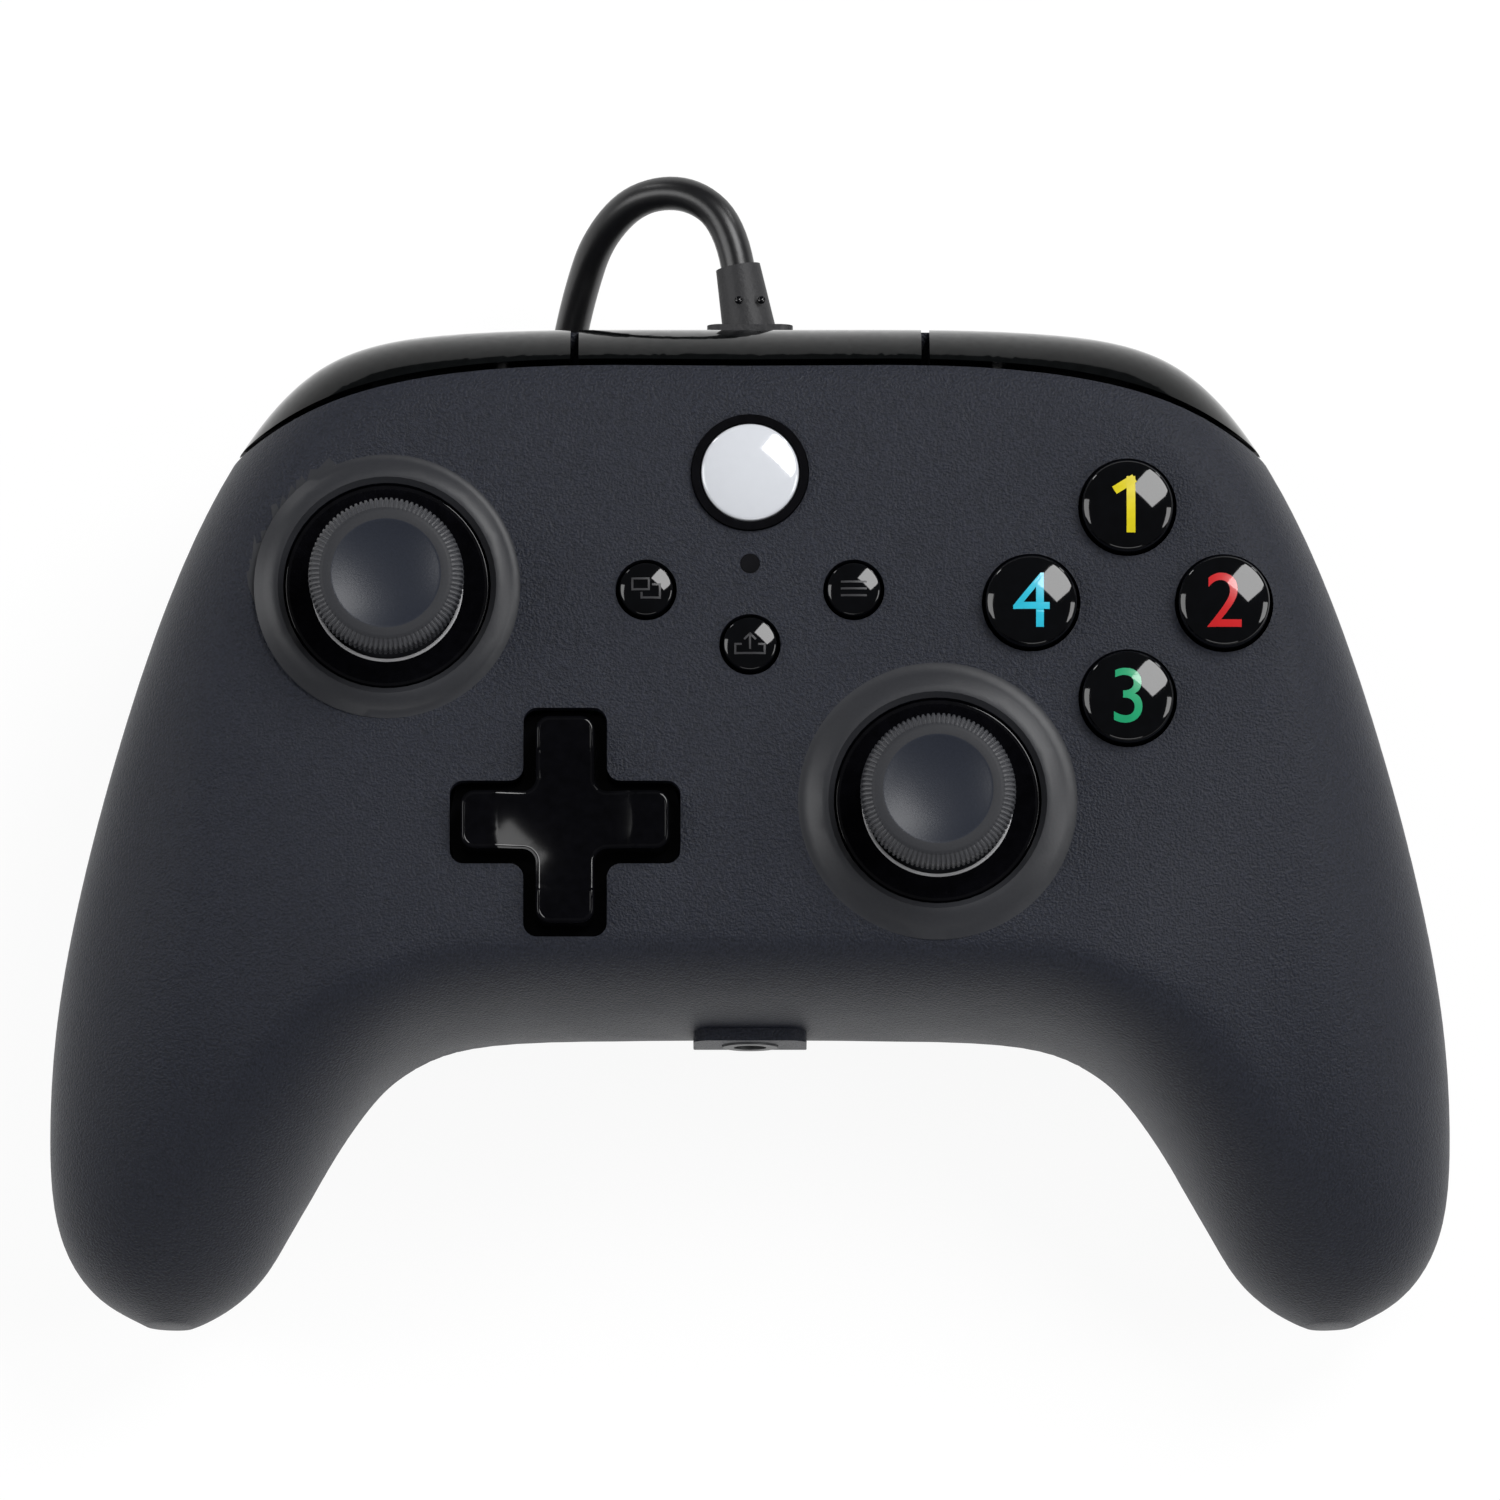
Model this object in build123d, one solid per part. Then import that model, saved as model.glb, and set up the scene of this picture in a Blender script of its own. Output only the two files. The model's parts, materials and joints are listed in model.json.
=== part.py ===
from build123d import *
import os
from math import cos, pi, radians, sin, sqrt, tan

# Wired gamepad lying face up: X to the user's right, Y away from the user, Z up through the face.
# The origin is under the middle of the housing, at the level of the table.

os.makedirs("parts", exist_ok=True)

# Housing
body_width = 153.5
body_depth = 107.4
face_height = 51.5
wall = 2.2
part_gap = 0.3
overrun = 40.0
parting_height = 38.0
parting_tip_height = 15.5
parting_bend_y = 15.0
rim_y = 47.9
rim_gap = 0.8
bumper_inner_x = 19.6
bridge_half_width = 18.7
bay_inner_x = 26.5
bay_front_y = 33.2

# Each row is one slice across the housing, from the middle out into the right grip. It gives the near end
# and the far end in plan, the top and the bottom, and how far in the four rounded corners reach.
round_share = 0.58
slice_shares = [
    ((0.000, -0.428), (0.000, 0.998), (1.000, 0.398), (0.118, 0.118, 0.21, 0.21)),
    ((0.182, -0.430), (0.208, 0.998), (1.000, 0.394), (0.118, 0.118, 0.21, 0.21)),
    ((0.339, -0.436), (0.417, 0.989), (1.000, 0.373), (0.118, 0.125, 0.21, 0.22)),
    ((0.430, -0.456), (0.599, 0.929), (0.999, 0.335), (0.130, 0.145, 0.225, 0.25)),
    ((0.489, -0.494), (0.730, 0.732), (0.992, 0.270), (0.150, 0.175, 0.26, 0.32)),
    ((0.528, -0.538), (0.827, 0.447), (0.975, 0.198), (0.200, 0.235, 0.31, 0.41)),
    ((0.563, -0.598), (0.899, 0.147), (0.934, 0.130), (0.270, 0.370, 0.38, 0.48)),
    ((0.597, -0.669), (0.954, -0.136), (0.878, 0.074), (0.330, 0.480, 0.43, 0.50)),
    ((0.629, -0.745), (0.989, -0.395), (0.804, 0.022), (0.390, 0.520, 0.45, 0.51)),
    ((0.663, -0.825), (1.000, -0.624), (0.711, 0.000), (0.446, 0.525, 0.464, 0.517)),
    ((0.698, -0.900), (0.985, -0.819), (0.602, 0.045), (0.470, 0.505, 0.47, 0.505)),
    ((0.749, -0.963), (0.925, -0.944), (0.485, 0.136), (0.480, 0.490, 0.48, 0.49)),
    ((0.795, -0.996), (0.866, -0.992), (0.388, 0.225), (0.480, 0.480, 0.48, 0.48)),
]
rim_shares = [
    (-0.900, 0.560), (-0.736, 0.715), (-0.620, 0.806), (-0.480, 0.864), (-0.340, 0.888), (0.000, 0.892),
    (0.340, 0.888), (0.480, 0.864), (0.620, 0.806), (0.736, 0.715), (0.900, 0.560),
]

# Hollows inside the housing
hollow_floor = 23.2
hollow_shoulder = 45.0
lower_hollow_plan = [(36.0, -18.5), (45.0, -12.0), (58.5, 4.0), (58.5, 24.0), (53.0, 30.8), (40.0, 30.8)]
upper_hollow_plan = [(34.0, -15.5), (43.0, -9.0), (50.5, 4.0), (50.5, 26.0), (44.0, 37.5), (26.0, 43.0)]
grip_hollow_slices = [
    (54.0, 12.0, 29.5, 8.0, 11.0), (61.0, -26.0, 21.5, 11.5, 14.0), (62.0, -45.0, 17.0, 7.0, 9.0),
]
nose_upper_y = 49.2
nose_lower_y = 44.0
nose_step_z = 28.5

# Thumbsticks
stick_rise = 10.0
stick_top_height = face_height + stick_rise
left_stick_x = -39.5
left_stick_y = 23.5
right_stick_x = 20.4
right_stick_y = -0.1
stick_pivot_depth = 9.0
stick_pivot_height = face_height - stick_pivot_depth
cap_radius = 8.45
cap_thickness = 4.2
cap_dish_radius = 5.8
cap_dish_depth = 0.9
cap_dish_middle_shares = (0.6, 0.8)
cap_edge = 0.7
neck_radius = 3.2
dome_radius = 10.2
dome_wall = 0.9
dome_half_angle = 62.0
stem_radius = 1.9
stem_clearance = 0.05
click_travel = 0.5
bezel_radius = 11.1
bezel_gap = 0.2
bezel_bore_radius = 7.9
bezel_rim_rise = 0.4
bezel_inner_drop = 0.5
bezel_flange = 1.9
bezel_flange_thickness = 1.3
dome_gap = 0.4
crater_crest_width = 1.4
crater_rise = 1.2
crater_bevel = 0.6
left_crater_radius = 14.5
right_crater_radius = 15.2

# Stick modules
main_board_top = 34.4
board_thickness = 1.4
case_width = 12.0
case_wall = 0.8
case_top_height = 45.3
case_corner_radius = 8.1
case_mouth_width = 9.2
ring_thickness = 0.8
ring_height = 2.6
ring_gap = 0.75
slide_yoke_thickness = 1.0
slide_yoke_leg = 0.65
slide_yoke_width = 5.6
slide_yoke_drop = 3.4
slide_yoke_gap = 0.12
slide_yoke_slot_clearance = 0.08
slide_yoke_slot_half = 3.3
trunnion_radius = 0.8
trunnion_clearance = 0.05
pivot_block_width = 4.8
pivot_block_height = 3.0
sensor_width = 6.0
sensor_thickness = 2.0
sensor_top = 43.4
sensor_gap = 0.1
switch_width = 5.0
switch_height = 1.6
stem_foot_gap = 0.45

# Face openings and buttons
skin = 2.2
action_x = 41.1
action_y = 21.7
action_pitch_radius = 10.5
action_radius = 4.95
action_well_radius = 5.38
action_height = 53.1
action_crown = 0.9
action_travel = 1.2
action_flange_radius = 6.1
action_sleeve_radius = 6.8
action_pocket_radius = 6.5
action_flange_top = 46.8
flange_thickness = 1.2
seat_gap = 0.2
small_x = 11.3
small_y = 23.1
capture_y = 17.1
small_radius = 2.9
small_well_radius = 3.35
small_height = 52.2
small_crown = 0.5
small_flange_radius = 3.9
small_travel = 0.5
home_y = 36.0
home_ring_radius = 6.35
home_ring_gap = 0.1
home_ring_flange_radius = 6.8
home_ring_rise = 0.5
home_lens_radius = 5.35
home_lens_gap = 0.12
home_lens_crown = 0.7
home_flange_radius = 6.4
status_y = 26.0
status_radius = 1.05
status_flange_radius = 1.8
status_fit = 0.05

# Direction pad
pad_x = -20.1
pad_y = -2.4
pad_span = 22.6
pad_arm_width = 6.3
pad_well_span = 25.1
pad_well_arm_width = 9.1
pad_corner = 1.5
pad_height = 53.9
pad_dish_radius = 26.0
pad_dish_depth = 1.3
pad_flange_radius = 12.6
pad_flange_top = 48.0
pad_flange_thickness = 1.1
pad_rocker_radius = 4.5
pad_rocker_top = 46.2
pad_rocker_thickness = 1.0
pad_post_radius = 1.0
pad_pivot_height = 46.0
pad_ball_radius = 1.6
pad_ball_clearance = 0.05
pad_dome_pitch_radius = 8.5
pad_dome_radius = 2.4
pad_dome_tip_radius = 1.9
pad_dome_top = 45.6

# Button board and rubber keypads
button_board_top = 41.5
keypad_thickness = 1.0
dome_base_radius = 3.4
dome_tip_radius = 2.2
dome_rest = 0.15
action_keypad_radius = 15.4
pad_keypad_radius = 13.4
centre_keypad_width = 30.0
centre_keypad_depth = 31.0
centre_keypad_y = 26.8
small_dome_base_radius = 2.3
small_dome_tip_radius = 1.7
board_hole_radius = 11.0
main_board_half_plan = [(36.0, -17.5), (43.0, -11.5), (52.0, 4.0), (52.0, 24.0), (47.0, 29.5), (13.0, 29.5),
                        (13.0, 46.0)]
button_board_half_plan = [(35.0, -17.7), (44.0, -11.0), (57.5, 6.0), (57.5, 23.5), (52.0, 30.0), (47.6, 30.0),
                          (43.2, 36.8), (25.5, 42.0)]
main_post_places = [(-44.0, 6.0), (44.0, 2.0), (-12.0, 26.0), (24.0, 26.0)]
button_post_places = [(-20.5, 33.5), (20.5, 33.5), (-2.0, -13.0), (36.0, -4.0)]
post_radius = 2.4
board_screw_radius = 0.9
board_screw_head_radius = 1.8
board_screw_head = 1.2
board_screw_length = 5.0
screw_fit = 0.08

# Bumpers
bumper_pin_x = 22.4
bumper_pin_y = 51.0
bumper_pin_top = 46.0
bumper_pin_radius = 0.7
bumper_pin_clearance = 0.06
bumper_switch_x = 44.0
bumper_switch_width = 6.0
bumper_switch_depth = 4.9
bumper_switch_height = 4.0
bumper_switch_z = 41.5
bumper_switch_y = 43.7
bumper_switch_gap = 0.1

# Triggers
trigger_inner_x = 27.3
trigger_outer_x = 58.0
trigger_side_gap = 0.6
trigger_wall = 2.0
trigger_pin_y = 38.5
trigger_pin_z = 33.5
trigger_pin_radius = 1.4
trigger_pin_fit = 0.05
trigger_pin_end_x = 48.4
trigger_pin_seat = 1.6
trigger_rib_x = 44.5
trigger_ear_x = 46.0
trigger_ear_width = 2.0
trigger_ear_reach = 3.6
trigger_boss_radius = 3.4
trigger_top = 36.8
trigger_front = [(50.6, 36.8), (52.4, 31.5), (51.0, 24.0), (49.7, 17.0), (50.6, 10.5), (52.2, 7.2)]
trigger_inner_corner = 6.0
trigger_outer_corner = 13.0
trigger_back = [(50.8, 5.2), (48.0, 6.0), (42.5, 14.0), (36.5, 25.0), (34.8, 33.0), (36.4, 36.8)]
spring_radius = 2.5
spring_bore_radius = 1.8
spring_start_x = 31.0
spring_length = 6.0
spring_wire = 0.9
spring_leg_reach = 7.0

# Rumble motors
motor_x = 61.0
motor_z = 20.5
motor_front_y = -35.0
motor_length = 12.0
left_motor_radius = 8.6
right_motor_radius = 7.6
motor_shaft_radius = 1.0
motor_shaft_depth = 2.5
weight_gap = 0.8
weight_thickness = 5.0
weight_fit = 0.03
weight_inset = 0.3
weight_hub_radius = 2.6
cradle_width = 13.0
cradle_foot_z = 6.5
cradle_thickness = 1.8
cradle_gap = 0.1

# Shell screws: place, height of the screw's seat and top of its post
shell_screw_places = [(60.0, 6.0, 15.0, 42.5), (19.0, 40.0, 26.0, 50.0), (61.8, -42.5, 9.5, 28.0)]
screw_post_radius = 3.6
screw_radius = 1.4
screw_head_radius = 2.6
screw_head_height = 1.8
screw_length = 16.0
screw_recess_radius = 2.9
screw_hole_radius = 1.6

# Headset jack
jack_bore_radius = 1.8
jack_nose_radius = 3.0
jack_nose_gap = 0.1
jack_width = 7.0
jack_height = 8.8
jack_length = 13.0
jack_face_y = -24.2
jack_nose_length = 4.0
jack_bore_length = 14.5
boss_width = 12.4
boss_height = 9.4
boss_depth = 6.0
boss_corner = 2.0
boss_proud = 0.2

# Cord, its boot, coil and plug
bend_share = 0.45
cord_diameter = 3.7
cord_z = 32.5
flange_seat_y = 52.4
boot_flange_width = 9.4
boot_flange_height = 7.6
boot_flange_depth = 2.4
boot_flange_corner = 1.5
boot_base_radius = 2.95
boot_tip_radius = 2.45
boot_length = 7.6
boot_lean = 10.0
boot_lean_seat = 0.6
boot_neck_radius = 2.3
boot_inner_radius = 3.4
boot_inner_thickness = 1.1
boot_inner_gap = 0.1
socket_width = 8.0
socket_depth = 9.0
socket_height = 4.2
socket_rear_y = 47.0
coil_x = -7.0
coil_y = 12.0
coil_radius = 26.9
coil_pitch = 4.25
coil_end_step = 2.85
coil_layer_pitch = 4.15
half_turns_per_layer = 7
coil_layers = 4
cord_sides = 4
stub_length = 4.0
coil_height_above_table = 2.5
cord_route = [
    (-1.322, 61.685, 32.5), (-2.2, 66.61, 32.5), (-6.7, 70.4, 31.2), (-12.5, 70.2, 28.5), (-16.7, 66.4, 23.8),
    (-18.7, 61.4, 17.4), (-20.2, 56.0, 10.3), (-21.6, 48.9, 4.6), (-23.6, 41.6, 2.5), (-33.9, 29.6, 2.5),
    (-33.9, 16.0, 2.5),
]
plug_route = [
    (19.9, 16.0, 14.95), (19.9, 26.5, 14.95), (27.2, 33.8, 12.75), (37.6, 33.8, 7.9), (45.4, 25.6, 4.1),
    (45.4, 14.0, 4.1),
]
overmould_length = 20.0
overmould_width = 14.0
overmould_height = 7.8
overmould_corner = 2.2
plug_width = 12.0
plug_height = 4.5
plug_length = 12.0
plug_wall = 0.4
plug_back = 1.0
tie_width = 6.0
tie_thickness = 0.45
tie_gap = 0.2
tie_inner_gap = 0.7

half_width = body_width / 2
jack_z = main_board_top - board_thickness - jack_height / 2
half_depth = body_depth / 2
cord_radius = cord_diameter / 2
skin_under = face_height - skin
named = {}


def put(name, shape):
    """Keeps one finished piece under its name."""
    named[name] = shape


def plan_point(share_pair, z):
    return Vector(share_pair[0] * half_width, share_pair[1] * half_depth, z)


def parting_at(y):
    """Height of the line where the two shells meet, at a place along Y."""
    if y >= parting_bend_y:
        return parting_height
    run = parting_bend_y + half_depth
    return parting_height - (parting_height - parting_tip_height) * (parting_bend_y - y) / run


def slice_corners(row, side):
    """The near, far and corner points of one slice."""
    near_share, far_share, height_shares, reach_shares = row
    near = plan_point((side * near_share[0], near_share[1]), 0)
    far = plan_point((side * far_share[0], far_share[1]), 0)
    along = (far - near).normalized()
    width = (far - near).length
    near = near + Vector(0, 0, parting_at(near.Y))
    far = far + Vector(0, 0, parting_at(far.Y))
    top = face_height * height_shares[0]
    bottom = face_height * height_shares[1]
    reaches = [width * share for share in reach_shares]
    return near, far, along, top, bottom, reaches


def corner_curve(start, start_way, end, end_way):
    """Control points of a rounded corner that leaves along one way and arrives along the other."""
    return [start, start + start_way * round_share, end - end_way * round_share, end]


def slice_curves(row, side):
    near, far, along, top, bottom, reaches = slice_corners(row, side)
    up = Vector(0, 0, 1)
    near_top = Vector(near.X, near.Y, top) + along * reaches[0]
    far_top = Vector(far.X, far.Y, top) - along * reaches[1]
    near_bottom = Vector(near.X, near.Y, bottom) + along * reaches[2]
    far_bottom = Vector(far.X, far.Y, bottom) - along * reaches[3]
    return [
        corner_curve(near, up * (top - near.Z), near_top, along * reaches[0]),
        [near_top, far_top],
        corner_curve(far_top, along * reaches[1], far, up * (far.Z - top)),
        corner_curve(far, up * (bottom - far.Z), far_bottom, along * -reaches[3]),
        [far_bottom, near_bottom],
        corner_curve(near_bottom, along * -reaches[2], near, up * (near.Z - bottom)),
    ]


def smooth_slice(row, side):
    edges = []
    for curve in slice_curves(row, side):
        edges.append(Edge.make_bezier(*curve) if len(curve) > 2 else Edge.make_line(*curve))
    return Wire(edges)


def all_slices(make):
    left = [make(row, -1) for row in reversed(slice_shares[1:])]
    return left + [make(row, 1) for row in slice_shares]


def slab(points_yz, x_from, x_to):
    """A solid with the given outline in Y and Z, between two places along X."""
    outline = [Vector(x_from, y, z) for y, z in points_yz]
    return Solid.extrude(Face(Wire.make_polygon(outline, close=True)), Vector(x_to - x_from, 0, 0))


def plate(points_xy, z_from, z_to):
    outline = [Vector(x, y, z_from) for x, y in points_xy]
    return Solid.extrude(Face(Wire.make_polygon(outline, close=True)), Vector(0, 0, z_to - z_from))


def block(x_from, x_to, y_from, y_to, z_from, z_to):
    return plate([(x_from, y_from), (x_to, y_from), (x_to, y_to), (x_from, y_to)], z_from, z_to)


def rod(x, y, z_from, z_to, radius):
    return Solid.make_cylinder(radius, z_to - z_from, Plane(origin=(x, y, z_from)))


def rod_x(x_from, x_to, y, z, radius):
    return Solid.make_cylinder(radius, x_to - x_from, Plane(origin=(x_from, y, z), z_dir=(1, 0, 0)))


def rod_y(x, y_from, y_to, z, radius):
    return Solid.make_cylinder(radius, y_to - y_from, Plane(origin=(x, y_from, z), z_dir=(0, 1, 0)))


def cone(x, y, z_from, z_to, base_radius, tip_radius):
    return Solid.make_cone(base_radius, tip_radius, z_to - z_from, Plane(origin=(x, y, z_from)))


def turned(profile, x, y):
    """A piece turned about a vertical axis from its outline in radius and height."""
    outline = [Vector(x + radius, y, z) for radius, z in profile]
    face = Face(Wire.make_polygon(outline, close=True))
    return Solid.revolve(face, 360, Axis((x, y, 0), (0, 0, 1)))


def rear_region(shift, z_from, z_to):
    """Everything behind the curved rim, moved back by a gap."""
    points = [plan_point(share, z_from) + Vector(0, shift, 0) for share in rim_shares]
    rim = Edge.make_spline(points)
    back_left = points[0] + Vector(-overrun, overrun * 2, 0)
    back_right = points[-1] + Vector(overrun, overrun * 2, 0)
    rest = Wire.make_polygon([points[-1], back_right, back_left, points[0]], close=False)
    return Solid.extrude(Face(Wire([rim] + rest.edges())), Vector(0, 0, z_to - z_from))


def below_parting():
    far = half_depth + overrun
    tip = -half_depth - overrun
    slope = (parting_height - parting_tip_height) / (parting_bend_y + half_depth)
    tip_z = parting_height - slope * (parting_bend_y - tip)
    low = -overrun
    outline = [(tip, tip_z), (parting_bend_y, parting_height), (far, parting_height), (far, low), (tip, low)]
    return slab(outline, -half_width - overrun, half_width + overrun)


def crowned_button(x, y, radius, flange_radius, flange_top, edge_height, crown):
    """A button with a domed top and a flange that keeps it under the face."""
    dome = (radius * radius + crown * crown) / (2 * crown)
    body = rod(x, y, flange_top - flange_thickness, edge_height + crown, radius)
    ball = Solid.make_sphere(dome, Plane(origin=(x, y, edge_height + crown - dome)), angle1=0, angle2=90)
    lower = rod(x, y, flange_top - flange_thickness, edge_height, radius)
    cap = body & ball
    flange = rod(x, y, flange_top - flange_thickness, flange_top, flange_radius)
    return lower + cap + flange


def cross(x, y, span, arm_width, corner, z_from, z_to):
    """An upright cross with rounded inner and outer corners."""
    with BuildPart() as piece:
        with BuildSketch(Plane(origin=(x, y, z_from))) as sketch:
            Rectangle(span, arm_width)
            Rectangle(arm_width, span)
            fillet(sketch.vertices(), corner)
        extrude(amount=z_to - z_from)
    return piece.part.solids()[0]


def sided_block(side, x_from, x_to, *rest):
    """A block given on the right side, or its twin on the left."""
    return block(min(side * x_from, side * x_to), max(side * x_from, side * x_to), *rest)


def sided_rod_x(side, x_from, x_to, *rest):
    return rod_x(min(side * x_from, side * x_to), max(side * x_from, side * x_to), *rest)


def both_ways(places):
    return [(side * place[0], *place[1:]) for place in places for side in (-1, 1)]


# Housing
outer = Solid.make_loft(all_slices(smooth_slice), False)
under = below_parting()
top_end = face_height + overrun
behind_rim = rear_region(0, parting_height, top_end)


def mirrored_plan(points):
    """A plan outline from its right half, listed from the middle front to the middle back."""
    return points + [(-x, y) for x, y in reversed(points)]


def grip_hollow(side):
    """The tapered hollow of one grip, through three six-sided slices."""
    wires = []
    for x, y, z, half_x, half_z in grip_hollow_slices:
        inner = half_x / 2
        corners = [
            (half_x, 0), (inner, half_z), (-inner, half_z), (-half_x, 0), (-inner, -half_z), (inner, -half_z),
        ]
        wires.append(Wire.make_polygon([Vector(side * x + dx, y, z + dz) for dx, dz in corners], close=True))
    return Solid.make_loft(wires, True)


def sticks():
    return [
        ("left", left_stick_x, left_stick_y, left_crater_radius),
        ("right", right_stick_x, right_stick_y, right_crater_radius),
    ]


def action_places():
    names = ["north", "east", "south", "west"]
    angles = [90, 0, -90, 180]
    return [
        (name, action_x + action_pitch_radius * cos(radians(angle)),
         action_y + action_pitch_radius * sin(radians(angle)))
        for name, angle in zip(names, angles)
    ]


def small_places():
    return [("back", -small_x, small_y), ("start", small_x, small_y), ("capture", 0, capture_y)]


hollows = [
    plate(mirrored_plan(lower_hollow_plan), hollow_floor, hollow_shoulder),
    plate(mirrored_plan(upper_hollow_plan), parting_height, skin_under),
    grip_hollow(-1), grip_hollow(1),
]
nose_side = bay_inner_x - wall
nose_hollows = [
    block(-nose_side, nose_side, 0, nose_upper_y, nose_step_z, parting_height),
    block(-nose_side, nose_side, 0, nose_lower_y, hollow_floor + wall, nose_step_z),
]
far_x = half_width + overrun
far_y = half_depth + overrun
bays = [
    sided_block(side, bay_inner_x, far_x, bay_front_y, far_y, -overrun, parting_height) for side in (-1, 1)
]
front_shell = (outer - under) - [behind_rim] - hollows
back_shell = (outer & under) - bays - hollows - nose_hollows

# Raised collars, sleeves, posts and the headset boss of the face shell
bezel_hole = bezel_radius + bezel_gap
crest = face_height + crater_rise
ring_pocket_radius = bezel_radius + bezel_flange + bezel_gap
collar_cuts = []
collars = []
for name, x, y, crater_radius in sticks():
    collar_cuts.append(rod(x, y, skin_under - wall * 2, top_end, ring_pocket_radius))
    collars.append(turned(
        [
            (bezel_hole, skin_under), (bezel_hole, crest - crater_bevel), (bezel_hole + crater_bevel, crest),
            (bezel_hole + crater_crest_width, crest), (crater_radius, face_height),
            (crater_radius, skin_under - wall * 2), (ring_pocket_radius, skin_under - wall * 2),
            (ring_pocket_radius, skin_under),
        ], x, y))
sleeves = []
face_cuts = []
for name, x, y in action_places():
    sleeves.append(rod(x, y, action_flange_top + seat_gap, skin_under + skin / 4, action_sleeve_radius))
    face_cuts.append(rod(x, y, 0, top_end, action_well_radius))
    face_cuts.append(rod(x, y, parting_height, action_flange_top + seat_gap, action_pocket_radius))
sleeves[1] = sleeves[1] & outer
for name, x, y in small_places():
    face_cuts.append(rod(x, y, parting_height, top_end, small_well_radius))
face_cuts.append(rod(0, home_y, parting_height, top_end, home_ring_radius + home_ring_gap))
face_cuts.append(rod(0, status_y, parting_height, top_end, status_radius + status_fit))
face_cuts.append(cross(pad_x, pad_y, pad_well_span, pad_well_arm_width, pad_corner, parting_height, top_end))

for side in (-1, 1):
    half_slot = bumper_switch_width / 2 + bumper_switch_gap
    slot_bottom = bumper_switch_z - bumper_switch_gap
    slot_top = bumper_switch_z + bumper_switch_height + bumper_switch_gap
    face_cuts.append(sided_block(
        side, bumper_switch_x - half_slot, bumper_switch_x + half_slot,
        bumper_switch_y - bumper_switch_depth - wall, bumper_switch_y + wall, slot_bottom, slot_top))

hanging_posts = []
for x, y in button_post_places:
    hanging_posts.append(rod(x, y, button_board_top, skin_under + skin / 2, post_radius))
    face_cuts.append(rod(
        x, y, button_board_top, button_board_top + board_screw_length, board_screw_radius + screw_fit))

boss_face_y = jack_face_y + boss_proud
boss = block(
    -boss_width / 2, boss_width / 2, boss_face_y, boss_face_y + boss_depth, jack_z - boss_height / 2,
    jack_z + boss_height / 2)
boss = boss.fillet(boss_corner, boss.edges().filter_by(Axis.Y))
jack_hole = rod_y(
    0, boss_face_y - overrun, boss_face_y + boss_depth + wall, jack_z, jack_nose_radius + jack_nose_gap)
jack_body_clearance = block(
    -jack_width / 2 - part_gap, jack_width / 2 + part_gap, jack_face_y + jack_nose_length - part_gap,
    jack_face_y + jack_nose_length + jack_length + part_gap, jack_z - jack_height / 2 - part_gap,
    main_board_top - board_thickness + part_gap)
face_cuts += [jack_hole, jack_body_clearance]

# Screw posts, cradles, hinge pins and ears of the back shell
back_posts = []
back_cuts = []
front_columns = []
for x, y, seat_z, column_top in both_ways(shell_screw_places):
    meeting_z = parting_at(y)
    back_posts.append(rod(x, y, seat_z - wall, meeting_z + wall, screw_post_radius))
    front_columns.append(rod(x, y, meeting_z - wall, column_top, screw_post_radius))
    back_cuts.append(rod(x, y, -overrun, seat_z, screw_recess_radius))
    back_cuts.append(rod(x, y, seat_z - wall, meeting_z + wall, screw_hole_radius))
    face_cuts.append(rod(x, y, seat_z, seat_z + screw_length + part_gap, screw_radius + screw_fit))
for x, y in main_post_places:
    back_posts.append(rod(x, y, hollow_floor - wall / 2, main_board_top - board_thickness, post_radius))
    back_cuts.append(rod(
        x, y, main_board_top - board_screw_length - part_gap, main_board_top, board_screw_radius + screw_fit))
cradles = []
for side, radius in ((-1, left_motor_radius), (1, right_motor_radius)):
    x = side * motor_x
    half_cradle = cradle_width / 2
    for y in (motor_front_y + cradle_thickness, motor_front_y + motor_length - cradle_thickness * 2):
        cradles.append(block(
            x - half_cradle, x + half_cradle, y, y + cradle_thickness, cradle_foot_z, motor_z - wall))
    weight_end = motor_front_y + motor_length + weight_gap + weight_thickness
    motor_room = rod_y(
        x, motor_front_y - cradle_gap, weight_end + weight_gap, motor_z, radius + cradle_gap)
    back_cuts.append(motor_room)
    face_cuts.append(motor_room)
hinge_pins = []
ears = []
for side in (-1, 1):
    hinge_pins.append(rod(
        side * bumper_pin_x, bumper_pin_y, parting_height - wall, bumper_pin_top, bumper_pin_radius))
    ear_low = trigger_pin_z - trigger_ear_reach
    ears.append(sided_block(
        side, trigger_ear_x, trigger_ear_x + trigger_ear_width, bay_front_y - wall / 2,
        trigger_pin_y + trigger_ear_reach, ear_low, ear_low + trigger_ear_reach * 2))
    back_cuts.append(sided_rod_x(
        side, bay_inner_x - trigger_pin_seat, trigger_pin_end_x + part_gap, trigger_pin_y, trigger_pin_z,
        trigger_pin_radius + trigger_pin_fit))

# Seat and hole of the cord's boot
half_flange = boot_flange_width / 2 + part_gap / 2
half_flange_height = boot_flange_height / 2 + part_gap / 2
back_cuts.append(block(
    -half_flange, half_flange, flange_seat_y, half_depth + overrun, cord_z - half_flange_height,
    cord_z + half_flange_height))
back_cuts.append(rod_y(0, nose_lower_y, half_depth, cord_z, boot_neck_radius + part_gap / 2))
back_cuts += [jack_hole, jack_body_clearance]

front_shell = front_shell - collar_cuts + collars + sleeves + hanging_posts
front_shell = front_shell + [boss - under] + [column - under for column in front_columns]
front_shell = front_shell - face_cuts
back_shell = back_shell + [post & under for post in back_posts] + cradles + ears
back_shell = back_shell - back_cuts + hinge_pins
put("front_shell", front_shell)
put("back_shell", back_shell)

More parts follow.
